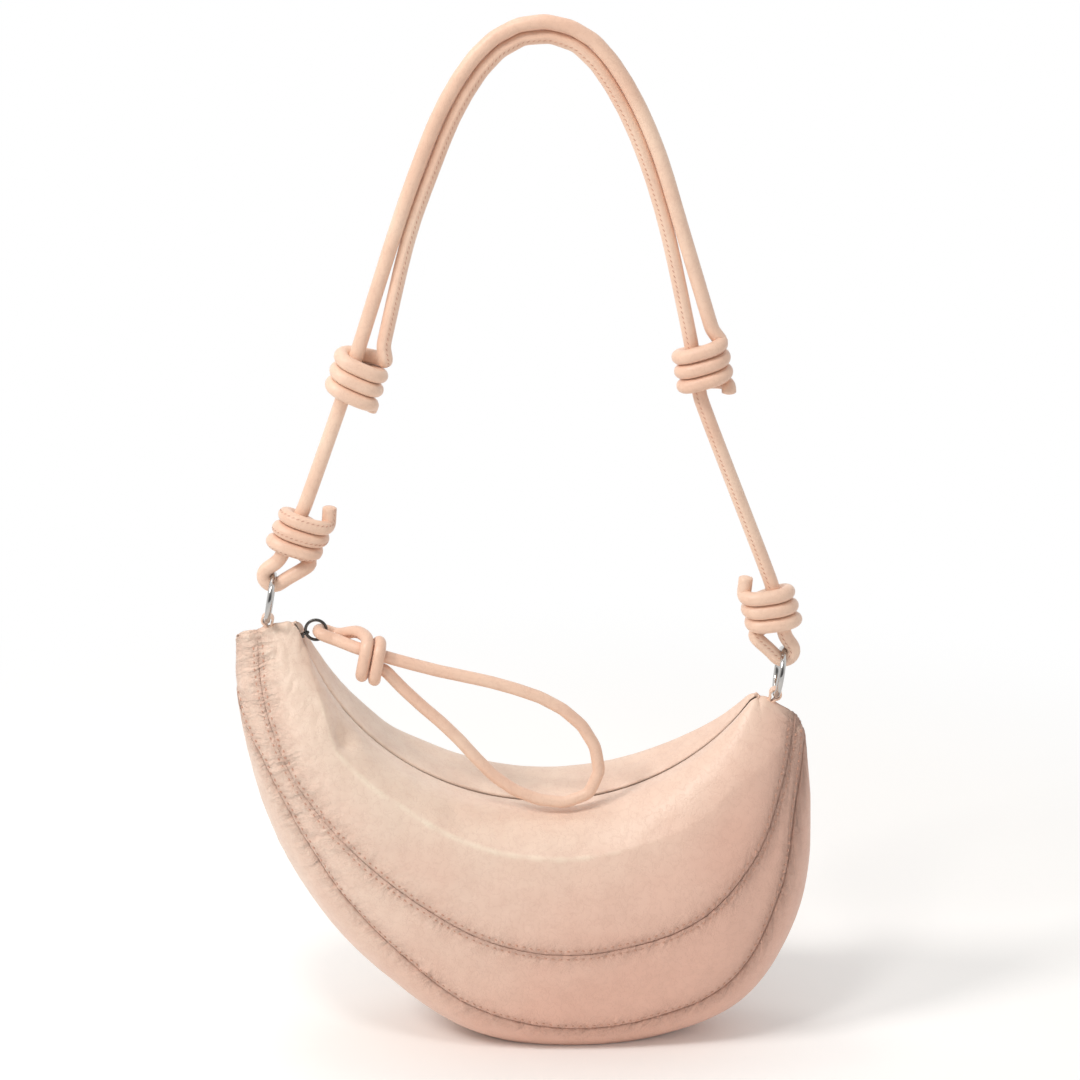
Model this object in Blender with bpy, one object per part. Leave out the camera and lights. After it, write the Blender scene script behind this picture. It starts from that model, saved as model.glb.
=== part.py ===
"""A crescent shoulder bag in soft leather, with a knotted cord strap and a zip with a knotted cord puller.

The bag stands on its base. +X is to the right as seen from the front, +Y is the back and +Z is up.
The zip lies on an arc about an axis along Y. A place along the bag is an angle about that axis, from
straight down, growing to the right. A place across it runs from 0, the front edge of the zip slot,
through 0.5, the keel, to 1, the back edge of the slot.
"""

import math

import bmesh
import bpy
import numpy as np
from mathutils import Matrix, Vector

# Units
MM = 0.001

# Leather body
ZIP_ARC_RADIUS = 147 * MM
ZIP_ARC_CENTRE_X = 11 * MM
ZIP_ARC_CENTRE_HEIGHT = 293 * MM
LEFT_TIP_ANGLE = math.radians(-76.0)
RIGHT_TIP_ANGLE = math.radians(57.5)
BELLY_DEPTH = 152 * MM
BODY_HALF_WIDTH = 57 * MM
TIP_HALF_WIDTH = 3.0 * MM
LEATHER = 1.6 * MM
SEAM_GAP = 0.3 * MM
SLOT_HALF_WIDTH = 1.3 * MM
BASE_END_WIDTH = 3.0 * MM
STATIONS = 44
UPPER_ROWS = 5
LOWER_ROWS = 4
BASE_ROWS = 4

# Depth from the zip to the keel, at even steps from the left tip to the right tip
DEPTH_SHARES = (0.235, 0.318, 0.408, 0.53, 0.66, 0.792, 0.934, 0.994, 0.998, 0.95, 0.74, 0.446, 0.222)
# Depth of the two seams on each face, at the same steps
UPPER_SEAM_SHARES = (0.66, 0.655, 0.62, 0.53, 0.48, 0.47, 0.48, 0.50, 0.51, 0.53, 0.57, 0.65, 0.78)
LOWER_SEAM_SHARES = (1.06, 1.0, 0.83, 0.745, 0.755, 0.785, 0.83, 0.86, 0.87, 0.865, 0.825, 0.84, 1.03)
# Outline across the bag: half-width and depth, from the shoulder by the zip round to the keel
FRONT_WIDTH_SHARES = (0.36, 0.70, 0.93, 1.0, 0.93, 0.78, 0.60, 0.33)
FRONT_DEPTH_SHARES = (0.006, 0.085, 0.235, 0.40, 0.58, 0.76, 0.91, 1.0)
BACK_WIDTH_SHARES = (0.36, 0.70, 0.93, 1.0, 0.97, 0.83, 0.62, 0.33)
BACK_DEPTH_SHARES = (-0.028, -0.034, 0.08, 0.30, 0.50, 0.70, 0.89, 1.0)
KEEL = 0.5
KEEL_DEPTH_SHARE = 1.02
FRONT_SHOULDER = 0.05
BACK_SHOULDER = 0.85
PLACE_STEP = 0.01
HALVINGS = 40
SHOULDER_POINTS = 3
TAPER_POWER = 2.6
TAPER_SHARPNESS = 1.05

# Lining
LINING = 0.8 * MM
LINING_GAP = 0.3 * MM
LINING_FIRST_STATION = 4
LINING_LAST_STATION = 40
LINING_ROW_CHOICE = (1, 3, 5, 7, 9, 11)

# Zip, in depths below the outer face of the slot's edges
ZIP_FIRST_ANGLE = math.radians(-73.2)
ZIP_LAST_ANGLE = math.radians(53.0)
TEETH_TOP = 4.1 * MM
TEETH_BOTTOM = 5.9 * MM
TEETH_INNER_EDGE = 1.1 * MM
TEETH_SPINE_EDGE = 2.2 * MM
TEETH_OUTER_EDGE = 3.1 * MM
TOOTH_PITCH = 6.0 * MM
TAPE = 0.8 * MM
TAPE_TOP = 4.5 * MM
TAPE_INNER_EDGE = 3.4 * MM
TAPE_BEND = 4.6 * MM
TAPE_OUTER_EDGE = 13.0 * MM
TAPE_CLEARANCE = 0.35 * MM
TAPE_STATIONS = 40
TAPE_SKIN_ROWS = 4
STOP_LENGTH = 1.2 * MM
STOP_HALF_WIDTH = 3.0 * MM
STOP_GAP = 0.4 * MM

# Slider and its bridge, in heights above the same face
SLIDER_LENGTH = 10.0 * MM
SLIDER_HALF_WIDTH = 3.6 * MM
SLIDER_UPPER_TOP = 2.6 * MM
SLIDER_PLATE = 1.0 * MM
SLIDER_LOWER_TOP = 6.4 * MM
WEDGE_HALF_WIDTH = 0.7 * MM
WEDGE_LENGTH = 3.0 * MM
SLIDER_REST_GAP = 0.4 * MM
BRIDGE_FOOT = 0.8 * MM
BRIDGE_FLOOR = 1.8 * MM
BRIDGE_HALF_OPENING = 1.3 * MM
BRIDGE_POST = 0.8 * MM
BRIDGE_OPENING_TOP = 4.4 * MM
BRIDGE_BAR = 0.7 * MM
BRIDGE_LENGTH = 1.4 * MM

# Pull ring and cord puller
PULL_RING_RADIUS = 6.0 * MM
PULL_RING_WIRE = 1.8 * MM
PULLER_CORD = 7.0 * MM
PULLER_BIGHT_GAP = 0.45 * MM
PULLER_AXIS_TILT = math.radians(-18.0)
PULLER_KNOT_FROM_RING = (32.39 * MM, -16 * MM, -12.13 * MM)
PULLER_KNOT_TURNS = 1.5
# Its loop, at (degrees along the bag, share of the arc's radius, distance behind the slot)
PULLER_LOOP = (
    (-45.37, 0.7360, -17 * MM),
    (-28.41, 0.7579, -18 * MM),
    (-13.06, 0.8729, -18 * MM),
    (-3.76, 0.9340, -20 * MM),
    (5.29, 0.9599, -21 * MM),
    (12.35, 0.9227, -20 * MM),
    (15.55, 0.8120, -18 * MM),
    (13.61, 0.6649, -18 * MM),
    (2.17, 0.5378, -18 * MM),
    (-22.38, 0.5003, -18 * MM),
    (-44.53, 0.5821, -17 * MM),
)
# Where it passes behind the knot on its way back: below it, across it and forwards
PULLER_REAR_WAY = (6.3 * MM, 9.8 * MM, -10.5 * MM)

# Strap
STRAP_CORD = 8.0 * MM
WRAP_GAP = 0.6 * MM
WRAP_TURNS = 3
POINTS_PER_TURN = 16
BIGHT_STEPS = 8
CURVE_STEPS = 24
RUN_SPACING = 15 * MM
TAIL_LENGTH = 11 * MM
TAIL_BULGE = STRAP_CORD / 3
STUB_LENGTH = 5 * MM
STUB_SPREAD = 1.4
# Each knot, from the top of its ring or from the knot below it
KNOT_1_FROM_RING = (15.085 * MM, 0.0, 23.839 * MM)
KNOT_2_FROM_KNOT_1 = (35 * MM, 0.0, 95 * MM)
KNOT_4_FROM_RING = (-7.825 * MM, 0.0, 24.329 * MM)
KNOT_3_FROM_KNOT_4 = (-41 * MM, 0.0, 145 * MM)
KNOT_1_LEAN = math.radians(25.0)
KNOT_2_LEAN = math.radians(18.0)
KNOT_3_LEAN = math.radians(-10.0)
KNOT_4_LEAN = math.radians(-15.0)
# Over the top, at (share of the way from knot 2 to knot 3, height above the line between them)
STRAP_TOP_ROUTE = (
    (0.0718, 44.6 * MM),
    (0.1282, 78.4 * MM),
    (0.2000, 118.0 * MM),
    (0.2718, 151.6 * MM),
    (0.3590, 178.2 * MM),
    (0.4462, 191.8 * MM),
    (0.5436, 195.3 * MM),
    (0.6564, 186.7 * MM),
    (0.7538, 162.2 * MM),
    (0.8410, 125.8 * MM),
    (0.9128, 80.4 * MM),
    (0.9641, 44.2 * MM),
)
PAIR_SPREAD = 4.15 * MM
PAIR_STAGGER = 1.5 * MM

# Rings and their tabs
RING_RADIUS = 13.5 * MM
RING_WIRE = 3.5 * MM
RING_CORD_GAP = 0.4 * MM
TAB_LEATHER = 1.3 * MM
TAB_HALF_WIDTH = 3.0 * MM
TAB_RING_GAP = 0.7 * MM
TAB_TIP_GAP = 0.3 * MM
TONGUE_LENGTH = 9.0 * MM
TONGUE_HALF_WIDTH = 2.4 * MM
TONGUE_HALF_THICKNESS = 1.0 * MM
LEFT_TAB_SHARE = 0.45
RIGHT_TAB_SHARE = 0.30
RING_SEGMENTS = 28
PULL_RING_SEGMENTS = 20
WIRE_SEGMENTS = 8
TAB_SEGMENTS = 24

COLOURS = {
    "leather": ((0.76, 0.55, 0.44), 0.55, 0.0),
    "lining": ((0.62, 0.50, 0.42), 0.9, 0.0),
    "tape": ((0.55, 0.38, 0.30), 0.85, 0.0),
    "teeth": ((0.30, 0.22, 0.18), 0.35, 1.0),
    "cord": ((0.68, 0.44, 0.33), 0.5, 0.0),
    "steel": ((0.62, 0.62, 0.63), 0.22, 1.0),
    "gunmetal": ((0.16, 0.15, 0.15), 0.3, 1.0),
}


# Scene helpers


def clear_scene():
    for old in list(bpy.data.objects):
        bpy.data.objects.remove(old, do_unlink=True)


def new_collection(name):
    collection = bpy.data.collections.new(name)
    bpy.context.scene.collection.children.link(collection)
    return collection


def make_material(name):
    colour, roughness, metallic = COLOURS[name]
    material = bpy.data.materials.new(name)
    material.use_nodes = True
    shader = material.node_tree.nodes["Principled BSDF"]
    shader.inputs["Base Color"].default_value = (*colour, 1.0)
    shader.inputs["Roughness"].default_value = roughness
    shader.inputs["Metallic"].default_value = metallic
    return material


def add_object(name, data, collection, material=None):
    piece = bpy.data.objects.new(name, data)
    collection.objects.link(piece)
    if material:
        data.materials.append(material)
    return piece


def mesh_from(name, build, smooth_angle=math.radians(40.0)):
    """A mesh of one closed body, which the build function makes, with its faces pointing outwards."""
    body = bmesh.new()
    build(body)
    bmesh.ops.recalc_face_normals(body, faces=body.faces)
    mesh = bpy.data.meshes.new(name)
    body.to_mesh(mesh)
    body.free()
    mesh.shade_smooth()
    mesh.set_sharp_from_angle(angle=smooth_angle)
    return mesh


def add_box(body, low, high):
    made = bmesh.ops.create_cube(body, size=1.0)["verts"]
    low, high = Vector(low), Vector(high)
    bmesh.ops.scale(body, vec=high - low, verts=made)
    bmesh.ops.translate(body, vec=(low + high) / 2, verts=made)


def unite(piece, other):
    union = piece.modifiers.new(other.name, "BOOLEAN")
    union.operation = "UNION"
    union.object = other
    other.hide_render = True
    other.display_type = "WIRE"


# Shape of the body


def smooth_at(values, place):
    """A smooth value at a place from 0 to 1 along evenly spaced values."""
    last = len(values) - 1
    along = min(max(place, 0.0), 1.0) * last
    start = min(int(along), last - 1)
    part = along - start
    before, after = values[max(start - 1, 0)], values[min(start + 2, last)]
    here, there = values[start], values[start + 1]
    linear = there - before
    square = 2 * before - 5 * here + 4 * there - after
    cube = 3 * here - before - 3 * there + after
    return here + 0.5 * part * (linear + part * (square + part * cube))


def along_bag(angle):
    return (angle - LEFT_TIP_ANGLE) / (RIGHT_TIP_ANGLE - LEFT_TIP_ANGLE)


def belly_depth(angle):
    return BELLY_DEPTH * smooth_at(DEPTH_SHARES, along_bag(angle))


def half_width(angle):
    from_middle = abs(2 * along_bag(angle) - 1)
    fullness = (1 - min(from_middle, 1.0) ** TAPER_POWER) ** TAPER_SHARPNESS
    return TIP_HALF_WIDTH + (BODY_HALF_WIDTH - TIP_HALF_WIDTH) * fullness


def half_outline(angle, skin, width_shares, depth_shares):
    """Points (half-width, distance from the arc's axis) of one face, at a depth under the outer skin."""
    width = half_width(angle) - skin
    depth = belly_depth(angle) - 2 * skin
    top = ZIP_ARC_RADIUS + skin
    points = [(SLOT_HALF_WIDTH, top)]
    for number, (across, down) in enumerate(zip(width_shares, depth_shares)):
        if number < SHOULDER_POINTS:
            reach = SLOT_HALF_WIDTH + across * (width - SLOT_HALF_WIDTH)
        else:
            reach = across * width
        points.append((reach, top + down * depth))
    return points


def outline(angle, skin):
    """Points (y, distance from the arc's axis) from the front edge of the slot round to the back edge."""
    front = half_outline(angle, skin, FRONT_WIDTH_SHARES, FRONT_DEPTH_SHARES)
    back = half_outline(angle, skin, BACK_WIDTH_SHARES, BACK_DEPTH_SHARES)
    keel = ZIP_ARC_RADIUS + skin + KEEL_DEPTH_SHARE * (belly_depth(angle) - 2 * skin)
    points = [(-reach, down) for reach, down in front]
    points.append((0.0, keel))
    points += [(reach, down) for reach, down in reversed(back)]
    return np.array(points)


def section_point(angle, across, skin=0.0):
    """(y, distance from the arc's axis) of the skin, which is flat where the bag stands on its base."""
    y, distance = smooth_at(outline(angle, skin), across)
    floor = (ZIP_ARC_CENTRE_HEIGHT - skin) / max(math.cos(angle), 1e-6)
    return float(y), min(float(distance), floor)


def in_space(angle, y, distance):
    x = ZIP_ARC_CENTRE_X + distance * math.sin(angle)
    return Vector((x, y, ZIP_ARC_CENTRE_HEIGHT - distance * math.cos(angle)))


def seam_place(angle, seam_shares, back):
    """The place across the bag at which a seam's depth is reached, or the keel where it isn't."""
    wanted = ZIP_ARC_RADIUS + belly_depth(angle) * smooth_at(seam_shares, along_bag(angle))
    shallow, deep = BACK_SHOULDER if back else FRONT_SHOULDER, KEEL
    for _ in range(HALVINGS):
        middle = (shallow + deep) / 2
        if smooth_at(outline(angle, 0.0), middle)[1] < wanted:
            shallow = middle
        else:
            deep = middle
    return deep


def gap_share(angle, across):
    """Half a seam gap as a step of the place across the bag, measured on the inner skin."""
    ahead = np.array(section_point(angle, across + PLACE_STEP, LEATHER))
    behind = np.array(section_point(angle, across - PLACE_STEP, LEATHER))
    return SEAM_GAP * PLACE_STEP / float(np.linalg.norm(ahead - behind))


def panel_rows(angle):
    """Places across the bag of each panel's rows: front upper, front lower, base, back lower, back upper."""
    seams = [
        seam_place(angle, UPPER_SEAM_SHARES, back=False),
        seam_place(angle, LOWER_SEAM_SHARES, back=False),
        seam_place(angle, LOWER_SEAM_SHARES, back=True),
        seam_place(angle, UPPER_SEAM_SHARES, back=True),
    ]
    gaps = [gap_share(angle, seam) for seam in seams]
    keel_gap = gap_share(angle, KEEL)
    front_foot = min(seams[1] - gaps[1], KEEL - keel_gap)
    back_foot = max(seams[2] + gaps[2], KEEL + keel_gap)
    return (
        np.linspace(0.0, seams[0] - gaps[0], UPPER_ROWS + 1),
        np.linspace(seams[0] + gaps[0], front_foot, LOWER_ROWS + 1),
        np.linspace(seams[1] + gaps[1], seams[2] - gaps[2], BASE_ROWS + 1),
        np.linspace(back_foot, seams[3] - gaps[3], LOWER_ROWS + 1),
        np.linspace(seams[3] + gaps[3], 1.0, UPPER_ROWS + 1),
    )


def shell_mesh(name, angles, rows_at, outer_skin, inner_skin):
    """A closed shell between two skins. rows_at gives the places across the bag at each angle."""

    def build(body):
        skins = []
        for skin in (outer_skin, inner_skin):
            grid = []
            for angle in angles:
                points = [section_point(angle, across, skin) for across in rows_at(angle)]
                grid.append([body.verts.new(in_space(angle, *point)) for point in points])
            skins.append(grid)
        outer, inner = skins
        last_row = len(outer[0]) - 1
        for here in range(len(angles) - 1):
            for row in range(last_row):
                for grid in skins:
                    body.faces.new(
                        (grid[here][row], grid[here + 1][row], grid[here + 1][row + 1], grid[here][row + 1])
                    )
            for row in (0, last_row):
                there = here + 1
                body.faces.new((outer[here][row], outer[there][row], inner[there][row], inner[here][row]))
        for end in (0, -1):
            for row in range(last_row):
                body.faces.new((outer[end][row], outer[end][row + 1], inner[end][row + 1], inner[end][row]))

    return mesh_from(name, build)


def base_width(angle):
    """Width of the base panel across its narrowest skin."""
    rows = panel_rows(angle)[2]
    edges = [section_point(angle, across, LEATHER)[0] for across in (rows[0], rows[-1])]
    return edges[1] - edges[0]


def make_panels(collection, material):
    names = ("front_upper_panel", "front_lower_panel", "base_panel", "back_lower_panel", "back_upper_panel")
    angles = list(np.linspace(LEFT_TIP_ANGLE, RIGHT_TIP_ANGLE, STATIONS + 1))
    base_angles = [angle for angle in angles if base_width(angle) > BASE_END_WIDTH]
    for number, name in enumerate(names):
        stations = base_angles if name == "base_panel" else angles

        def rows_at(angle, number=number):
            return panel_rows(angle)[number]

        add_object(name, shell_mesh(name, stations, rows_at, 0.0, LEATHER), collection, material)


def lining_rows(angle, back):
    """Rows of one lining, which lie on rows of the panels, from beside the tape to the keel."""
    front_upper, front_lower, base, back_lower, back_upper = panel_rows(angle)
    keel_gap = gap_share(angle, KEEL)
    if back:
        rows = [*back_upper[::-1], *back_lower[::-1], max(base[-2], KEEL + keel_gap), KEEL + keel_gap]
    else:
        rows = [*front_upper, *front_lower, min(base[1], KEEL - keel_gap), KEEL - keel_gap]
    return [rows[choice] for choice in LINING_ROW_CHOICE]


def make_linings(collection, material):
    angles = list(np.linspace(LEFT_TIP_ANGLE, RIGHT_TIP_ANGLE, STATIONS + 1))
    stations = angles[LINING_FIRST_STATION : LINING_LAST_STATION + 1 : 2]
    outer = LEATHER + LINING_GAP
    for name, back in (("lining_front", False), ("lining_back", True)):

        def rows_at(angle, back=back):
            return lining_rows(angle, back)

        add_object(name, shell_mesh(name, stations, rows_at, outer, outer + LINING), collection, material)


# Zip


def swept_mesh(name, angles, section_at):
    """A solid swept along the zip's arc. section_at gives a closed loop of (y, depth below the slot)."""

    def build(body):
        loops = []
        for angle in angles:
            section = section_at(angle)
            loops.append([body.verts.new(in_space(angle, y, ZIP_ARC_RADIUS + down)) for y, down in section])
        count = len(loops[0])
        for here, there in zip(loops, loops[1:]):
            for corner in range(count):
                after = (corner + 1) % count
                body.faces.new((here[corner], there[corner], there[after], here[after]))
        body.faces.new(loops[0])
        body.faces.new(loops[-1])

    return mesh_from(name, build)


def room_beside_teeth(reach, down):
    """How far out the leather's inner skin stays above the flat part of the tape."""
    for number in range(len(down) - 1):
        here, there = down[number], down[number + 1]
        if here <= TAPE_TOP < there:
            share = (TAPE_TOP - here) / (there - here)
            return reach[number] + share * (reach[number + 1] - reach[number])
    return max([reach[0]] + [out for out, depth in zip(reach, down) if depth <= TAPE_TOP])


def tape_section(angle, side):
    """The tape's section: flat beside the teeth, then up under the leather, narrower near the tips."""
    rows = panel_rows(angle)[0] if side < 0 else panel_rows(angle)[4][::-1]
    skin = [section_point(angle, across, LEATHER) for across in rows[:TAPE_SKIN_ROWS]]
    reach = [abs(y) for y, _ in skin]
    down = [distance - ZIP_ARC_RADIUS for _, distance in skin]
    limit = room_beside_teeth(reach, down) - 2 * TAPE_CLEARANCE
    lining_row = abs(section_point(angle, rows[LINING_ROW_CHOICE[0]], LEATHER + LINING_GAP + LINING)[0])
    edge = min(TAPE_OUTER_EDGE, limit, max(lining_row - TAPE_CLEARANCE, TAPE_BEND))
    bend = min(TAPE_BEND, (TAPE_INNER_EDGE + edge) / 2)
    edge_top = min(float(np.interp(edge, reach, down)) + TAPE_CLEARANCE, TAPE_TOP)
    upper = [(TAPE_INNER_EDGE, TAPE_TOP), (bend, TAPE_TOP), (edge, edge_top)]
    lower = [(y, depth + TAPE) for y, depth in reversed(upper)]
    return [(side * y, depth) for y, depth in upper + lower]


def make_tapes(collection, material):
    angles = np.linspace(ZIP_FIRST_ANGLE, ZIP_LAST_ANGLE, TAPE_STATIONS + 1)
    for name, side in (("zip_tape_front", -1), ("zip_tape_back", 1)):

        def section_at(angle, side=side):
            return tape_section(angle, side)

        add_object(name, swept_mesh(name, angles, section_at), collection, material)


def stop_angle():
    """The angle that one stop and its gap take up."""
    return (STOP_LENGTH + STOP_GAP) / ZIP_ARC_RADIUS


def teeth_mesh(name, side, first_tooth):
    """One row: a spine along the tape's edge, with a tooth drawn out of every second face of it."""
    first = ZIP_FIRST_ANGLE + stop_angle()
    last = ZIP_LAST_ANGLE - stop_angle()
    steps = 2 * round((last - first) * ZIP_ARC_RADIUS / TOOTH_PITCH)
    section = (
        (side * TEETH_SPINE_EDGE, TEETH_TOP),
        (side * TEETH_OUTER_EDGE, TEETH_TOP),
        (side * TEETH_OUTER_EDGE, TEETH_BOTTOM),
        (side * TEETH_SPINE_EDGE, TEETH_BOTTOM),
    )

    def build(body):
        loops = []
        for angle in np.linspace(first, last, steps + 1):
            loops.append([body.verts.new(in_space(angle, y, ZIP_ARC_RADIUS + down)) for y, down in section])
        inner_faces = []
        for here, there in zip(loops, loops[1:]):
            for corner in range(4):
                after = (corner + 1) % 4
                face = body.faces.new((here[corner], there[corner], there[after], here[after]))
                if corner == 3:
                    inner_faces.append(face)
        body.faces.new(loops[0])
        body.faces.new(loops[-1])
        bmesh.ops.recalc_face_normals(body, faces=body.faces)
        drawn = Vector((0.0, side * (TEETH_INNER_EDGE - TEETH_SPINE_EDGE), 0.0))
        for face in inner_faces[first_tooth::2]:
            tip = bmesh.ops.extrude_discrete_faces(body, faces=[face])["faces"][0]
            bmesh.ops.translate(body, vec=drawn, verts=tip.verts)

    return mesh_from(name, build)


def make_teeth(collection, material):
    for name, side, first_tooth in (("zip_teeth_front", -1, 0), ("zip_teeth_back", 1, 1)):
        add_object(name, teeth_mesh(name, side, first_tooth), collection, material)


def make_stops(collection, material):
    length = STOP_LENGTH / ZIP_ARC_RADIUS
    section = [
        (-STOP_HALF_WIDTH, TEETH_TOP),
        (STOP_HALF_WIDTH, TEETH_TOP),
        (STOP_HALF_WIDTH, TEETH_BOTTOM),
        (-STOP_HALF_WIDTH, TEETH_BOTTOM),
    ]
    for name, first in (("zip_stop_left", ZIP_FIRST_ANGLE), ("zip_stop_right", ZIP_LAST_ANGLE - length)):
        mesh = swept_mesh(name, (first, first + length), lambda angle: section)
        add_object(name, mesh, collection, material)


def slider_rest_angle():
    wedge_start = (STOP_LENGTH + SLIDER_REST_GAP + WEDGE_LENGTH / 2) / ZIP_ARC_RADIUS
    return ZIP_FIRST_ANGLE + wedge_start


def slider_frame(angle):
    """A frame on the slot's face: X along the zip, Y to the back, Z out of the bag."""
    return Matrix.Translation(in_space(angle, 0.0, ZIP_ARC_RADIUS)) @ Matrix.Rotation(-angle, 4, "Y")


def bridge_wire_height():
    return (BRIDGE_FLOOR + BRIDGE_OPENING_TOP) / 2


def make_slider(collection, helpers, material, zip_axis):
    """Two plates and the wedge between them, with a bridge above the leather that holds the pull ring."""
    half = SLIDER_LENGTH / 2
    rear = -WEDGE_LENGTH / 2

    def upper_plate(body):
        low = (rear, -SLIDER_HALF_WIDTH, -SLIDER_UPPER_TOP - SLIDER_PLATE)
        add_box(body, low, (rear + SLIDER_LENGTH, SLIDER_HALF_WIDTH, -SLIDER_UPPER_TOP))

    def lower_plate(body):
        low = (rear, -SLIDER_HALF_WIDTH, -SLIDER_LOWER_TOP - SLIDER_PLATE)
        add_box(body, low, (rear + SLIDER_LENGTH, SLIDER_HALF_WIDTH, -SLIDER_LOWER_TOP))

    def wedge(body):
        low = (rear, -WEDGE_HALF_WIDTH, -SLIDER_LOWER_TOP - SLIDER_PLATE / 2)
        add_box(body, low, (-rear, WEDGE_HALF_WIDTH, BRIDGE_FLOOR - SLIDER_PLATE / 2))

    def bridge(body):
        outer = BRIDGE_HALF_OPENING + BRIDGE_POST
        high = (rear + BRIDGE_LENGTH, outer, BRIDGE_OPENING_TOP + BRIDGE_BAR)
        add_box(body, (rear, -outer, BRIDGE_FOOT), high)

    def bridge_opening(body):
        low = (rear - half, -BRIDGE_HALF_OPENING, BRIDGE_FLOOR)
        add_box(body, low, (rear + half, BRIDGE_HALF_OPENING, BRIDGE_OPENING_TOP))

    frame = slider_frame(slider_rest_angle())
    slider = add_object("zip_slider", mesh_from("zip_slider", wedge), collection, material)
    for name, build in (("upper_plate", upper_plate), ("lower_plate", lower_plate), ("bridge", bridge)):
        helper = add_object(name, mesh_from(name, build), helpers)
        helper.matrix_world = frame
        unite(slider, helper)
    opening = add_object("bridge_opening", mesh_from("bridge_opening", bridge_opening), helpers)
    opening.matrix_world = frame
    opening.hide_render = True
    opening.display_type = "WIRE"
    cut = slider.modifiers.new("bridge_opening", "BOOLEAN")
    cut.operation = "DIFFERENCE"
    cut.object = opening
    slider.parent = zip_axis
    slider.matrix_parent_inverse = zip_axis.matrix_world.inverted()
    slider.matrix_world = frame
    return slider


# Rings and tabs


def unit_at(angle):
    """Directions at an angle along the bag: away from the arc's axis, and along the zip to the right."""
    away = Vector((math.sin(angle), 0.0, -math.cos(angle)))
    return away, Vector((math.cos(angle), 0.0, math.sin(angle)))


def tab_radius():
    return RING_WIRE / 2 + TAB_RING_GAP + TAB_LEATHER


def wire_in_tab(angle, share, outwards):
    """Where the ring's wire passes through the tab that stands on a tip."""
    _, along = unit_at(angle)
    edge = in_space(angle, 0.0, ZIP_ARC_RADIUS + share * belly_depth(angle))
    return edge + outwards * (tab_radius() + TAB_TIP_GAP) * along


def add_ring(name, centre, axis, radius, wire, segments, collection, material):
    bpy.ops.mesh.primitive_torus_add(
        major_segments=segments, minor_segments=WIRE_SEGMENTS, major_radius=radius, minor_radius=wire / 2
    )
    ring = bpy.context.object
    ring.name = name
    ring.data.name = name
    for home in list(ring.users_collection):
        home.objects.unlink(ring)
    collection.objects.link(ring)
    ring.data.materials.append(material)
    ring.data.shade_smooth()
    turn = axis.to_track_quat("Z", "Y").to_matrix().to_4x4()
    ring.matrix_world = Matrix.Translation(centre) @ turn
    return ring


def make_tab(name, wire, angle, outwards, collection, helpers, material):
    """A leather loop round the ring's wire, with a tongue between the two faces of the tip."""
    outer = tab_radius()
    inner = RING_WIRE / 2 + TAB_RING_GAP

    def loop(body):
        width = 2 * TAB_HALF_WIDTH
        bmesh.ops.create_cone(
            body, cap_ends=True, segments=TAB_SEGMENTS, radius1=outer, radius2=outer, depth=width
        )

    def eye(body):
        width = 3 * TAB_HALF_WIDTH
        bmesh.ops.create_cone(
            body, cap_ends=True, segments=TAB_SEGMENTS, radius1=inner, radius2=inner, depth=width
        )

    def tongue(body):
        top = -(inner + TAB_LEATHER / 2)
        low = (-TONGUE_HALF_WIDTH, top - TONGUE_LENGTH, -TONGUE_HALF_THICKNESS)
        add_box(body, low, (TONGUE_HALF_WIDTH, top, TONGUE_HALF_THICKNESS))

    away, along = unit_at(angle)
    up = outwards * along
    side = away if outwards < 0 else -away
    turn = Matrix((side, up, side.cross(up))).transposed().to_4x4()
    frame = Matrix.Translation(wire) @ turn
    tab = add_object(name, mesh_from(name, loop), collection, material)
    tab.matrix_world = frame
    tongue_piece = add_object(name + "_tongue", mesh_from(name + "_tongue", tongue), helpers)
    tongue_piece.matrix_world = frame
    unite(tab, tongue_piece)
    eye_piece = add_object(name + "_eye", mesh_from(name + "_eye", eye), helpers)
    eye_piece.matrix_world = frame
    eye_piece.hide_render = True
    eye_piece.display_type = "WIRE"
    cut = tab.modifiers.new("eye", "BOOLEAN")
    cut.operation = "DIFFERENCE"
    cut.object = eye_piece
    return tab


# Cords


def curve_between(points):
    """Even points on the smooth curve from the second point of a list to the last but one."""
    dense = []
    for number in range(1, len(points) - 2):
        before, here, there, after = points[number - 1 : number + 3]
        for step in range(CURVE_STEPS):
            part = step / CURVE_STEPS
            linear = there - before
            square = 2 * before - 5 * here + 4 * there - after
            cube = 3 * here - before - 3 * there + after
            dense.append(here + 0.5 * part * (linear + part * (square + part * cube)))
    dense.append(points[-2])
    lengths = np.cumsum([0.0] + [(b - a).length for a, b in zip(dense, dense[1:])])
    count = max(2, round(lengths[-1] / min(RUN_SPACING, lengths[-1] / len(points))))
    even = np.linspace(0.0, lengths[-1], count + 1)[1:-1]
    table = np.array(dense)
    return [Vector([float(np.interp(place, lengths, table[:, axis])) for axis in range(3)]) for place in even]


def racetrack(share, core, reach):
    """A point (across, forward) round two cords side by side, from the outer end of one of them."""
    quarter = math.pi * reach / 2
    sides = [quarter, 2 * core, 2 * quarter, 2 * core, quarter]
    place = (share % 1.0) * sum(sides)
    if place < sides[0]:
        turn = place / reach
        return core + reach * math.cos(turn), reach * math.sin(turn)
    place -= sides[0]
    if place < sides[1]:
        return core - place, reach
    place -= sides[1]
    if place < sides[2]:
        turn = math.pi / 2 + place / reach
        return -core + reach * math.cos(turn), reach * math.sin(turn)
    place -= sides[2]
    if place < sides[3]:
        return -core + place, -reach
    place -= sides[3]
    turn = 3 * math.pi / 2 + place / reach
    return core + reach * math.cos(turn), reach * math.sin(turn)


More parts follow.
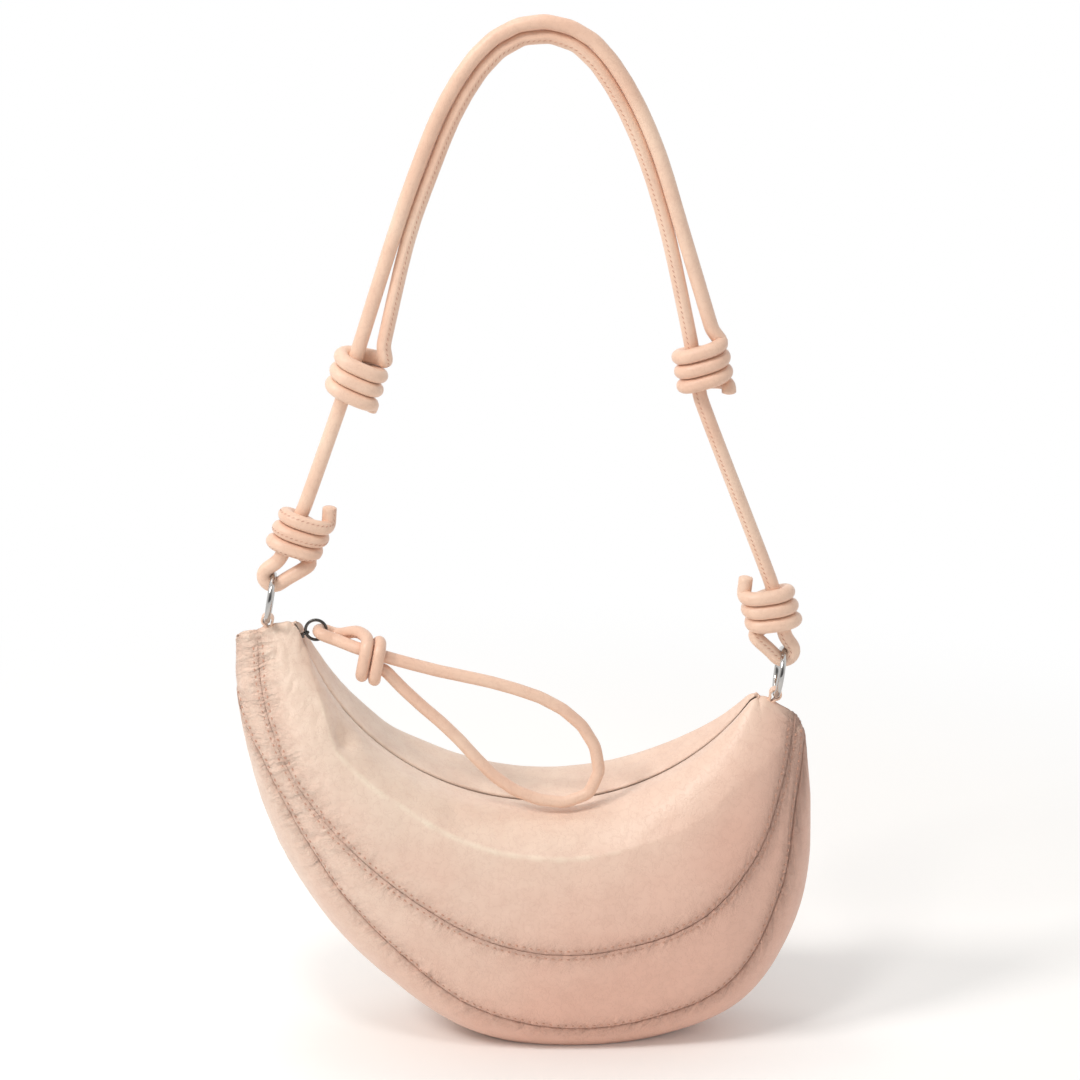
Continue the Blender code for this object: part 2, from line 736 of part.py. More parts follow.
class Knot:
    """A wrapped knot round two cores, with its own directions: up the cords, across and forwards."""

    def __init__(self, centre, up, across, cord, turns):
        self.centre = Vector(centre)
        self.up = up.normalized()
        self.across = across.normalized()
        self.front = Vector((0.0, -1.0, 0.0))
        self.cord = cord
        self.pitch = cord + WRAP_GAP
        self.turns = turns

    def point(self, height, across=0.0, forward=0.0):
        return self.centre + self.up * height + self.across * across + self.front * forward

    def half_height(self):
        return self.turns * self.pitch / 2

    def core(self, height, side):
        return self.point(height, side * self.pitch / 2)

    def wraps(self, side, climb, hand):
        """The turns, from one end to the other: side and hand choose where they start and which way."""
        points = []
        for number in range(round(self.turns * POINTS_PER_TURN) + 1):
            share = number / POINTS_PER_TURN
            across, forward = racetrack(share, self.pitch / 2, self.pitch)
            height = climb * (share * self.pitch - self.half_height())
            points.append(self.point(height, side * across, hand * forward))
        return points


def leaning(lean):
    """Up and across directions in the strap's plane, leaning to the right by an angle."""
    up = Vector((math.sin(lean), 0.0, math.cos(lean)))
    return up, Vector((math.cos(lean), 0.0, -math.sin(lean)))


def strap_knot(place, offset, lean):
    up, across = leaning(lean)
    return Knot(place + Vector(offset), up, across, STRAP_CORD, WRAP_TURNS)


def bight(centre, up, across, radius):
    """Points under a ring's wire, from its left side round to its right side."""
    points = []
    for number in range(BIGHT_STEPS + 1):
        turn = math.pi + math.pi * number / BIGHT_STEPS
        points.append(centre + radius * (math.cos(turn) * across + math.sin(turn) * up))
    return points


def joined(pieces, via):
    """One list of points: the pieces with smooth runs between them, through via[n] before piece n."""
    points = list(pieces[0])
    for number in range(1, len(pieces)):
        piece = pieces[number]
        ahead = piece[1] if len(piece) > 1 else piece[0]
        points += curve_between([points[-2], points[-1], *via.get(number, ()), piece[0], ahead])
        points += piece
    return points


def make_cord(name, points, diameter, collection, material):
    curve = bpy.data.curves.new(name, "CURVE")
    curve.dimensions = "3D"
    curve.bevel_depth = diameter / 2
    curve.bevel_resolution = 1
    curve.use_fill_caps = True
    spline = curve.splines.new("POLY")
    spline.points.add(len(points) - 1)
    for slot, point in zip(spline.points, points):
        slot.co = (*point, 1.0)
        slot.radius = 1.0
    spline.use_smooth = True
    return add_object(name, curve, collection, material)


def pair_route(side, start, finish):
    """The route of one of the two cords that lie side by side over the top: side 1 is the outer one."""
    flat = [start.lerp(finish, share) + Vector((0.0, 0.0, rise)) for share, rise in STRAP_TOP_ROUTE]
    route = []
    for number, point in enumerate(flat):
        ahead = flat[min(number + 1, len(flat) - 1)]
        behind = flat[max(number - 1, 0)]
        along = (ahead - behind).normalized()
        outwards = Vector((-along.z, 0.0, along.x))
        route.append(point + side * (PAIR_SPREAD * outwards + Vector((0.0, -PAIR_STAGGER, 0.0))))
    return route


def ring_bight(wire, knot):
    up = (knot.centre - wire).normalized()
    across = Vector((up.z, 0.0, -up.x))
    return bight(wire, up, across, (RING_WIRE + STRAP_CORD) / 2 + RING_CORD_GAP)


def strap_cords(left_wire, right_wire):
    """The routes of the two strap cords, each tied to its own ring and wrapped round the other one."""
    knot_1 = strap_knot(left_wire, KNOT_1_FROM_RING, KNOT_1_LEAN)
    knot_2 = strap_knot(knot_1.centre, KNOT_2_FROM_KNOT_1, KNOT_2_LEAN)
    knot_4 = strap_knot(right_wire, KNOT_4_FROM_RING, KNOT_4_LEAN)
    knot_3 = strap_knot(knot_4.centre, KNOT_3_FROM_KNOT_4, KNOT_3_LEAN)
    end = knot_1.half_height()
    pitch = knot_1.pitch

    def tied(knot, side):
        """The cut end above a knot, then the turns from the top down."""
        tail = [
            knot.point(end + TAIL_LENGTH, side * pitch),
            knot.point(end + STRAP_CORD / 2, side * (pitch + TAIL_BULGE)),
        ]
        return tail + knot.wraps(side, climb=1, hand=-1)[::-1]

    def through(knot, side):
        """One of the two cords that run straight through a knot, from the bottom up."""
        reach = end + STRAP_CORD / 2
        return [knot.core(height, side) for height in (-reach, 0.0, reach)]

    def wrapped(knot, hand):
        """The turns from the top down, then the cut end below them."""
        return knot.wraps(side=1, climb=-1, hand=hand) + [knot.point(-end - STUB_LENGTH, STUB_SPREAD * pitch)]

    left = joined(
        [
            tied(knot_1, 1),
            ring_bight(left_wire, knot_1)[::-1],
            through(knot_1, -1),
            through(knot_2, -1),
            [knot_3.point(end + STRAP_CORD, pitch)],
        ],
        {4: pair_route(1, knot_2.centre, knot_3.centre)[1:-1]},
    )
    right = joined(
        [
            tied(knot_4, -1),
            ring_bight(right_wire, knot_4),
            through(knot_4, 1),
            through(knot_3, -1),
            [knot_2.point(end + STRAP_CORD, pitch)],
        ],
        {4: pair_route(-1, knot_2.centre, knot_3.centre)[-2:0:-1]},
    )
    return left + wrapped(knot_3, hand=1), right + wrapped(knot_2, hand=-1)


def pull_ring_centre():
    frame = slider_frame(slider_rest_angle())
    rear = -WEDGE_LENGTH / 2 + BRIDGE_LENGTH / 2
    return frame @ Vector((rear, 0.0, bridge_wire_height() + PULL_RING_RADIUS))


def pull_ring_hinge():
    frame = slider_frame(slider_rest_angle())
    rear = -WEDGE_LENGTH / 2 + BRIDGE_LENGTH / 2
    return frame @ Vector((rear, 0.0, bridge_wire_height()))


def puller_route():
    """From the end tucked in the knot, round the loop, back through the knot, the ring and the wraps."""
    up = Vector((math.cos(PULLER_AXIS_TILT), 0.0, math.sin(PULLER_AXIS_TILT)))
    across = Vector((-up.z, 0.0, up.x))
    ring = pull_ring_centre()
    knot = Knot(ring + Vector(PULLER_KNOT_FROM_RING), up, across, PULLER_CORD, PULLER_KNOT_TURNS)
    end = knot.half_height()
    flat_way = Vector((knot.centre.x - ring.x, 0.0, knot.centre.z - ring.z)).normalized()
    wire = ring + PULL_RING_RADIUS * flat_way
    radius = (PULL_RING_WIRE + PULLER_CORD) / 2 + PULLER_BIGHT_GAP
    through_ring = []
    for number in range(BIGHT_STEPS + 1):
        turn = math.pi / 2 + math.pi * number / BIGHT_STEPS
        forward = Vector((0.0, -math.sin(turn), 0.0))
        through_ring.append(wire + radius * forward + radius * math.cos(turn) * flat_way)
    reach = end + PULLER_CORD / 2
    below, beside, behind = PULLER_REAR_WAY
    return joined(
        [
            [knot.core(-end, -1), knot.core(0.0, -1), knot.core(reach, -1)],
            [knot.core(reach, 1), knot.core(0.0, 1), knot.core(-reach, 1)],
            through_ring,
            knot.wraps(side=1, climb=1, hand=1),
        ],
        {
            1: [in_space(math.radians(turn), y, share * ZIP_ARC_RADIUS) for turn, share, y in PULLER_LOOP],
            2: [through_ring[0] + PULLER_CORD * flat_way],
            3: [through_ring[-1] + PULLER_CORD * flat_way, knot.point(-end - below, beside, behind)],
        },
    )


def least_gap(first, second, reach, skip=0):
    """The least distance between two cords' points, less a diameter, leaving out near neighbours."""
    least = math.inf
    for number, point in enumerate(first):
        for other_number, other in enumerate(second):
            if not skip or abs(number - other_number) > skip:
                least = min(least, (point - other).length)
    return least - reach


# Assembly


def empty_at(name, matrix, collection):
    empty = bpy.data.objects.new(name, None)
    collection.objects.link(empty)
    empty.matrix_world = matrix
    return empty


def hang_on(piece, axis):
    """Parents a piece to an empty on its joint's axis, leaving it where it is."""
    place = piece.matrix_world.copy()
    piece.parent = axis
    piece.matrix_parent_inverse = axis.matrix_world.inverted()
    piece.matrix_world = place


def main():
    clear_scene()
    bag = new_collection("dumpling_bag")
    helpers = new_collection("cutters")
    materials = {name: make_material(name) for name in COLOURS}

    make_panels(bag, materials["leather"])
    make_linings(bag, materials["lining"])
    make_tapes(bag, materials["tape"])
    make_teeth(bag, materials["teeth"])
    make_stops(bag, materials["teeth"])

    centre = Vector((ZIP_ARC_CENTRE_X, 0.0, ZIP_ARC_CENTRE_HEIGHT))
    zip_axis = empty_at("zip_axis", Matrix.Translation(centre), bag)
    make_slider(bag, helpers, materials["gunmetal"], zip_axis)

    left_wire = wire_in_tab(LEFT_TIP_ANGLE, LEFT_TAB_SHARE, -1)
    right_wire = wire_in_tab(RIGHT_TIP_ANGLE, RIGHT_TAB_SHARE, 1)
    line = (right_wire - left_wire).normalized()
    above = Vector((-line.z, 0.0, line.x))
    left_ring, right_ring = left_wire + RING_RADIUS * above, right_wire + RING_RADIUS * above
    make_tab("tab_left", left_wire, LEFT_TIP_ANGLE, -1, bag, helpers, materials["leather"])
    make_tab("tab_right", right_wire, RIGHT_TIP_ANGLE, 1, bag, helpers, materials["leather"])
    for name, centre in (("ring_left", left_ring), ("ring_right", right_ring)):
        add_ring(name, centre, line, RING_RADIUS, RING_WIRE, RING_SEGMENTS, bag, materials["steel"])

    strap_axis = empty_at("strap_axis", Matrix.Translation(left_ring), bag)
    left, right = strap_cords(left_ring + RING_RADIUS * above, right_ring + RING_RADIUS * above)
    for name, route in (("strap_cord_left", left), ("strap_cord_right", right)):
        hang_on(make_cord(name, route, STRAP_CORD, bag, materials["cord"]), strap_axis)

    ring_axis = empty_at("pull_ring_axis", Matrix.Translation(pull_ring_hinge()), bag)
    pull_ring = add_ring(
        "pull_ring",
        pull_ring_centre(),
        Vector((0.0, 1.0, 0.0)),
        PULL_RING_RADIUS,
        PULL_RING_WIRE,
        PULL_RING_SEGMENTS,
        bag,
        materials["gunmetal"],
    )
    hang_on(pull_ring, ring_axis)
    puller = puller_route()
    pull_cord = make_cord("pull_cord", puller, PULLER_CORD, bag, materials["cord"])
    hang_on(pull_cord, empty_at("pull_cord_axis", Matrix.Translation(pull_ring_centre()), bag))

    def length(route):
        return sum((b - a).length for a, b in zip(route, route[1:]))

    print("strap cord lengths", round(length(left), 3), round(length(right), 3))
    print("puller length", round(length(puller), 3))
    print("least gaps in mm: left cord", round(least_gap(left, left, STRAP_CORD, 6) / MM, 2))
    print("right cord", round(least_gap(right, right, STRAP_CORD, 6) / MM, 2))
    print("between the two", round(least_gap(left, right, STRAP_CORD) / MM, 2))
    print("puller", round(least_gap(puller, puller, PULLER_CORD, 6) / MM, 2))
    for name, place in (
        ("left ring", left_ring),
        ("right ring", right_ring),
        ("pull ring", pull_ring_centre()),
        ("pull ring's hinge", pull_ring_hinge()),
    ):
        print(name, tuple(round(value, 5) for value in place))
    print("slider angle", round(math.degrees(slider_rest_angle()), 3))


main()
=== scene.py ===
"""The look of a soft leather crescent bag with a knotted cord strap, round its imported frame.

Lengths are in metres. +X is to the right as seen from the front, +Y is the back and +Z is up. A place
along the bag is an angle about the zip's arc, from straight down, growing to the right. A place across
it runs from 0, the front edge of the zip slot, through 0.5, the keel, to 1, the back edge of the slot.
"""

import math

import bmesh
import bpy
import numpy as np
from mathutils import Matrix, Vector, noise


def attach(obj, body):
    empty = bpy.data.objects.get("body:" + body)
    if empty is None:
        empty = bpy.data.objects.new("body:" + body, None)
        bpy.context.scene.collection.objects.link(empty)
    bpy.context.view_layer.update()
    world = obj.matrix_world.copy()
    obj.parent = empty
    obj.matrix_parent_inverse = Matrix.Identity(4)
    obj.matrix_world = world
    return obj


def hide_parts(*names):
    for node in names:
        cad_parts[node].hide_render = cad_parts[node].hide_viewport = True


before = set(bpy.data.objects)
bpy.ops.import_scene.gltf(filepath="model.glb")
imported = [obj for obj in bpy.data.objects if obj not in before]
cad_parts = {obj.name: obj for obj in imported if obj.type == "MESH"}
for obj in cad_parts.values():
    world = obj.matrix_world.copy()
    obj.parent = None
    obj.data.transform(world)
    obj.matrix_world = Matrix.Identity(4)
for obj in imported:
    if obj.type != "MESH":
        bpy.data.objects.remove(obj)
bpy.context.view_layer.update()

MM = 0.001


def mm(*lengths):
    """A tuple of lengths that are given in millimetres."""
    return tuple(length * MM for length in lengths)


# Body, as in the part's source. A section has shares of its half width and of the belly's depth
ZIP_RADIUS = 147 * MM
ARC_X = 11 * MM
ARC_HEIGHT = 293 * MM
LEFT_TIP = math.radians(-76.0)
RIGHT_TIP = math.radians(57.5)
BELLY_DEPTH = 152 * MM
BODY_HALF_WIDTH = 57 * MM
TIP_HALF_WIDTH = 3.0 * MM
SLOT_HALF_WIDTH = 1.3 * MM
DEPTH_SHARES = (0.235, 0.318, 0.408, 0.53, 0.66, 0.792, 0.934, 0.994, 0.998, 0.95, 0.74, 0.446, 0.222)
UPPER_SEAM_SHARES = (0.66, 0.655, 0.62, 0.53, 0.48, 0.47, 0.48, 0.50, 0.51, 0.53, 0.57, 0.65, 0.78)
LOWER_SEAM_SHARES = (1.06, 1.0, 0.83, 0.745, 0.755, 0.785, 0.83, 0.86, 0.87, 0.865, 0.825, 0.84, 1.03)
FRONT_SECTION_SHARES = (
    (0.36, 0.70, 0.93, 1.0, 0.93, 0.78, 0.60, 0.33),
    (0.006, 0.085, 0.235, 0.40, 0.58, 0.76, 0.91, 1.0),
)
BACK_SECTION_SHARES = (
    (0.36, 0.70, 0.93, 1.0, 0.97, 0.83, 0.62, 0.33),
    (-0.028, -0.034, 0.08, 0.30, 0.50, 0.70, 0.89, 1.0),
)
KEEL_DEPTH_SHARE = 1.02
SHOULDER_POINTS = 3
TAPER_POWER = 2.6
TAPER_SHARPNESS = 1.05
TIP_ROUNDING = 4.5 * MM
# Rounding of each tip's corners in the plane of the zip's arc: by the zip and at the keel
CORNERS = {-1: mm(7, 3.5), 1: mm(9, 9)}

# Leather panels
LEATHER = 0.9 * MM
PANEL_COLUMNS = 620
PANEL_ROWS = 62
SEAM_STATIONS = 321
LEAST_BASE_SHARE = 0.004
FLOOR_GAP = 0.2 * MM
# Each panel and how strong its soft waves are, from the front of the slot round to the back
PANELS = (
    ("front_upper_leather", 1.0),
    ("front_lower_leather", 1.0),
    ("base_leather", 0.3),
    ("back_lower_leather", 0.7),
    ("back_upper_leather", 0.6),
)
# Each kind of edge: roll depth and reach, pucker height, reach and pitch, depth of the stitches' pull
EDGES = {
    "lip": mm(1.7, 1.5, 0.0, 6, 8, 0.0),
    "topstitched": mm(0.7, 1.6, 1.8, 5, 3.6, 0.3),
    "gathered": mm(1.3, 2.8, 2.2, 6, 4.2, 0.2),
}
ROLL_FADE = 30 * MM
LEFT_PUCKER_FADE = 170 * MM
# Gathering of the lower seams, which run into the keel near the tips: degrees, strength
GATHERED = ((-76, 0.1), (-62, 0.1), (-50, 1.0), (40, 1.0), (50, 0.1), (57.5, 0.1))
# How far the gathers' fine creases reach from a seam: on the base, elsewhere, and more towards the left
BASE_CREASE_REACH = 7 * MM
CREASE_REACH = 5.5 * MM
LEFT_CREASE_REACH = 3.5 * MM
# Where leather on the left is creased and gathered more: from a place on X, over a length
LEFT_CREASED = mm(-78, 60)
LEFT_GATHERED = mm(-20, 100)
SEAM_SHADE_REACH = 1.3 * MM
# Soft waves over the leather: height, size, seed
WAVES = ((*mm(1.5, 62), 3.7), (*mm(0.45, 21), 12.9))
FINE_CREASE, FINE_CREASE_SIZE = 0.16 * MM, 11 * MM
LEFT_CREASE, LEFT_CREASE_SIZE = 0.8 * MM, 8 * MM
# Dents that the photograph shows, and one where the strap rests when it hangs behind: place, depth, reach
DENTS = (
    (mm(-103.8, -27.4, 194.3), *mm(4.6, 7)),
    (mm(-40.4, -31.6, 150.3), *mm(1.0, 6)),
    (mm(-76.5, 33.0, 179.5), *mm(2.2, 16)),
    (mm(-136.5, 11.8, 243.8), *mm(1.5, 9)),
)
# The fold along the upper panel where its top turns down into its face: degrees, place across,
# strength, and how strong the highlight painted along its crest is
FOLD = (
    (-70, 0.05, 0.0, 0.0),
    (-62, 0.10, 0.7, 0.5),
    (-49, 0.14, 1.0, 0.9),
    (-31, 0.125, 1.0, 1.0),
    (0, 0.13, 1.0, 0.9),
    (20, 0.135, 0.7, 0.25),
    (41, 0.165, 0.4, 0.0),
    (51, 0.255, 0.3, 0.0),
    (57, 0.37, 0.0, 0.0),
)
FOLD_HEIGHT = 3.6 * MM
FOLD_REACH = 10 * MM
FOLD_SOFTNESS = 1.0 * MM
# Width of the highlight painted along the fold's crest, and the size of the patches that make it uneven
FOLD_SHINE = 2.4 * MM
FOLD_HIGHLIGHT_PATCH_SIZE = 9 * MM

# Stitches: length, width and height of one, and where they lie. An end is an angle from each tip
BODY_STITCH = mm(1.8, 1.15, 0.6)
STITCH_INSET = 3.0 * MM
STITCH_PITCH = 4.4 * MM
STITCH_LIFT = 0.12 * MM
STITCH_PULL_WIDTH = 0.75 * MM
UPPER_STITCHES_END = 0.04
CORD_STITCH = mm(2.1, 0.55, 0.4)
CORD_STITCH_PITCH = 3.0 * MM
CORD_STITCH_LIFT = -0.18 * MM
CORD_STITCH_SLANT = 0.5

# Lining: its halves, each with its first and last place across. An end is an angle from each tip
LININGS = (("front", 0.09, 0.497), ("back", 0.503, 0.91))
LINING_END = 0.2
LINING_SKIN = 2.4 * MM
LINING = 0.4 * MM
LINING_SLACK = 0.5 * MM
LINING_WAVE, LINING_WAVE_SIZE = 0.35 * MM, 16 * MM
LINING_MAP = (0.45, 0.24)

# Zip. A corner's X is along the zip, its Y is to the back and its Z is out of the bag
ZIP_FIRST = math.radians(-73.2)
ZIP_LAST = math.radians(53.0)
TAPE_TOP = 4.5 * MM
TAPE_INNER_EDGE = 3.0 * MM
TAPE_OUTER_EDGE = 13.0 * MM
TAPE_LEAST_WIDTH = 1.0 * MM
TAPE_COVER = 0.4 * MM
TAPE_EDGE_GAP = 1.2 * MM
TAPE_GAP = 0.8 * MM
TAPE_FLAT = 4.2 * MM
TAPE_RISE = 4.0 * MM
TAPE = 0.6 * MM
TAPE_MAP = (0.33, 0.01)
TOOTH = (mm(-0.6, 1.15, -5.9), mm(0.6, 3.2, -4.1))
TOOTH_EDGE = 0.22 * MM
TOOTH_PITCH = 2.4 * MM
TEETH_END_GAP = 1.6 * MM
SLIDER_ANGLE = math.radians(-71.992)
SLIDER_REAR = -1.5 * MM
SLIDER_LENGTH = 10.0 * MM
SLIDER_HALF_WIDTH = 3.6 * MM
SLIDER_PLATE = 1.0 * MM
SLIDER_PLATE_DEPTHS = mm(2.6, 6.4)
SLIDER_EDGE = 0.28 * MM
SLIDER_NECK = (mm(-1.5, -0.7, -6.9), mm(1.5, 0.7, 1.4))
SLIDER_FOOT = (mm(-1.5, -2.1, 0.8), mm(-0.1, 2.1, 1.8))
BRIDGE_X = -0.8 * MM
BRIDGE_HALF_WIDTH = 1.7 * MM
BRIDGE_FOOT = 1.2 * MM
BRIDGE_SPRING = 3.1 * MM
BRIDGE_RISE = 1.65 * MM
BRIDGE_WIRE = 0.76 * MM
BRIDGE_STRETCH = 1.7
METAL_SHARP = 35

# Rings and tabs
RING_RADIUS = 13.5 * MM
RING_WIRE = 3.5 * MM
PULL_RING_RADIUS = 6.0 * MM
PULL_RING_WIRE = 1.8 * MM
LEFT_TAB_SHARE = 0.45
RIGHT_TAB_SHARE = 0.30
TIP_TO_WIRE = 4.05 * MM
TAB_LEATHER = 1.2 * MM
TAB_RADIUS = 3.1 * MM
TAB_HALF_WIDTH = 3.0 * MM
TAB_EDGE = 0.3 * MM
# The part of a tab in the tip's seam: across, out of the tip, half width
TAB_LEG = (mm(0.75, -12.5, 1.0), mm(0.8, -8.0, 1.2), mm(1.0, -5.0, 2.0))

# Cords
STRAP_CORD = 8.0 * MM
STRAP_SHOWN = 8.3 * MM
PULLER_CORD = 7.0 * MM
PULLER_SHOWN = 7.2 * MM
WRAP_GAP = 0.6 * MM
WRAP_TURNS = 3
POINTS_PER_TURN = 16
RUN_SPACING = 15 * MM
TAIL_LENGTH = 11 * MM
STUB_LENGTH = 5 * MM
RING_CORD_GAP = 0.4 * MM
PULLER_BIGHT_GAP = 0.45 * MM
# Knots of the strap, from the left ring over the top to the right ring: centre, lean
STRAP_KNOTS = (
    (mm(-129, 0.0, 308), math.radians(25.0)),
    (mm(-94, 0.0, 403), math.radians(18.0)),
    (mm(101, 0.0, 408), math.radians(-10.0)),
    (mm(142, 0.0, 263), math.radians(-15.0)),
)
STRAP_TOP_ROUTE = (
    mm(-80, 448), mm(-69, 482), mm(-55, 522), mm(-41, 556), mm(-24, 583), mm(-7, 597), mm(12, 601),
    mm(34, 593), mm(53, 569), mm(70, 533), mm(84, 488), mm(94, 452),
)
PAIR_SPREAD = 4.15 * MM
PAIR_STAGGER = 1.5 * MM
PULLER_TILT = math.radians(-18.0)
PULLER_KNOT = mm(-88, -16, 239)
PULLER_TURNS = 1.5
PULLER_LOOP = (
    mm(-66, -17, 217), mm(-42, -18, 195), mm(-18, -18, 168), mm(2, -20, 156), mm(24, -21, 152.5),
    mm(40, -20, 160.5), mm(43, -18, 178), mm(34, -18, 198), mm(14, -18, 214), mm(-17, -18, 225),
    mm(-49, -17, 232),
)
CORD_SMOOTHING = 1.8 * MM
CORD_STEP = 1.5 * MM
CORD_SIDES = 24
CORD_END = 1.5 * MM
# The seam along a cord: its depth and width, and the swell beside it
SEAM_DEPTH = 0.35 * MM
SEAM_WIDTH = 0.55 * MM
SEAM_SWELL_PLACE = 1.3 * MM
SEAM_SWELL_WIDTH = 0.6 * MM

# Lamps, which all face the bag: name, place, size, power, colour
LAMPS = (
    ("key_lamp", (-1.5, -0.9, 1.9), 0.6, 21.5, (1.0, 0.98, 0.96)),
    ("top_lamp", (-0.35, 0.35, 1.9), 0.6, 3.0, (1.0, 0.985, 0.96)),
    ("fold_lamp", (-0.4, -0.85, 1.95), 0.35, 6.5, (1.0, 0.985, 0.965)),
)
LAMP_TARGET = (0.0, 0.0, 0.15)
SOFT_LIGHT = 0.55


# Camera and light


def add_object(name, data):
    made = bpy.data.objects.new(name, data)
    bpy.context.scene.collection.objects.link(made)
    return made


def add_camera():
    camera = add_object("camera", bpy.data.cameras.new("camera"))
    camera.location = (0.009, -2.06, 0.975)
    camera.rotation_euler = (math.radians(72.0), 0.0, 0.0)
    camera.data.lens = 126.0
    camera.data.sensor_width = 36.0
    bpy.context.scene.camera = camera


def add_lamp(name, place, size, power, colour):
    light = bpy.data.lights.new(name, "AREA")
    light.shape = "DISK"
    light.size = size
    light.energy = power
    light.color = colour
    lamp = add_object(name, light)
    lamp.location = place
    lamp.rotation_euler = (Vector(LAMP_TARGET) - Vector(place)).to_track_quat("-Z", "Y").to_euler()


# Shaders


def srgb(red, green, blue):
    """A colour given as it shows on screen, from 0 to 255."""
    linear = []
    for value in (red, green, blue):
        share = value / 255
        linear.append(share / 12.92 if share <= 0.04045 else ((share + 0.055) / 1.055) ** 2.4)
    return (*linear, 1.0)


class Value:
    """A shader socket that takes Python's operators."""

    def __init__(self, paint, socket):
        self.paint = paint
        self.socket = socket

    def calculate(self, operation, first, second=0.0):
        return self.paint.node("ShaderNodeMath", {"operation": operation}, {0: first, 1: second})

    def __add__(self, other):
        return self.calculate("ADD", self, other)

    def __sub__(self, other):
        return self.calculate("SUBTRACT", self, other)

    def __rsub__(self, other):
        return self.calculate("SUBTRACT", other, self)

    def __mul__(self, other):
        return self.calculate("MULTIPLY", self, other)

    def __abs__(self):
        return self.calculate("ABSOLUTE", self)

    __radd__ = __add__


class Paint:
    """The nodes of one material, or of the world."""

    def __init__(self, owner, shader="Principled BSDF"):
        owner.use_nodes = True
        self.owner = owner
        self.tree = owner.node_tree
        self.shader = self.tree.nodes[shader]

    def feed(self, socket, value):
        if isinstance(value, Value):
            self.tree.links.new(value.socket, socket)
        else:
            socket.default_value = value

    def node(self, kind, settings=None, inputs=None, output=0):
        made = self.tree.nodes.new(kind)
        for name, setting in (settings or {}).items():
            setattr(made, name, setting)
        for name, value in (inputs or {}).items():
            self.feed(made.inputs[name], value)
        return Value(self, made.outputs[output])

    def parts(self, vector):
        """The X, Y and Z of a vector."""
        split = self.tree.nodes.new("ShaderNodeSeparateXYZ")
        self.feed(split.inputs[0], vector)
        return [Value(self, socket) for socket in split.outputs]

    def rays(self):
        """Whether a ray is the camera's own, and whether it is a mirrored one."""
        path = self.tree.nodes.new("ShaderNodeLightPath")
        return [Value(self, path.outputs[name]) for name in ("Is Camera Ray", "Is Glossy Ray")]

    def place(self):
        return self.node("ShaderNodeTexCoord", output="Object")

    def noise(self, scale, detail=2.0, roughness=0.5):
        inputs = {"Vector": self.place(), "Scale": scale, "Detail": detail, "Roughness": roughness}
        return self.node("ShaderNodeTexNoise", None, inputs)

    def cells(self, scale):
        inputs = {"Vector": self.place(), "Scale": scale, "Smoothness": 0.6}
        return self.node("ShaderNodeTexVoronoi", {"feature": "SMOOTH_F1"}, inputs, output="Distance")

    def between(self, share, low, high):
        """A share from 0 to 1 as the value goes from low to high."""
        inputs = {0: share, 1: low, 2: high, 3: 0.0, 4: 1.0}
        return self.node("ShaderNodeMapRange", {"interpolation_type": "SMOOTHSTEP"}, inputs)

    def mix(self, share, first, second):
        return self.node("ShaderNodeMix", {"data_type": "RGBA"}, {0: share, 6: first, 7: second}, output=2)

    def attribute(self, name):
        return self.node("ShaderNodeAttribute", {"attribute_name": name}, output="Fac")

    def bump(self, height, depth):
        return self.node("ShaderNodeBump", None, {"Strength": 1.0, "Distance": depth, "Height": height})

    def finish(self, **values):
        for name, value in values.items():
            self.feed(self.shader.inputs[name.replace("_", " ")], value)
        return self.owner


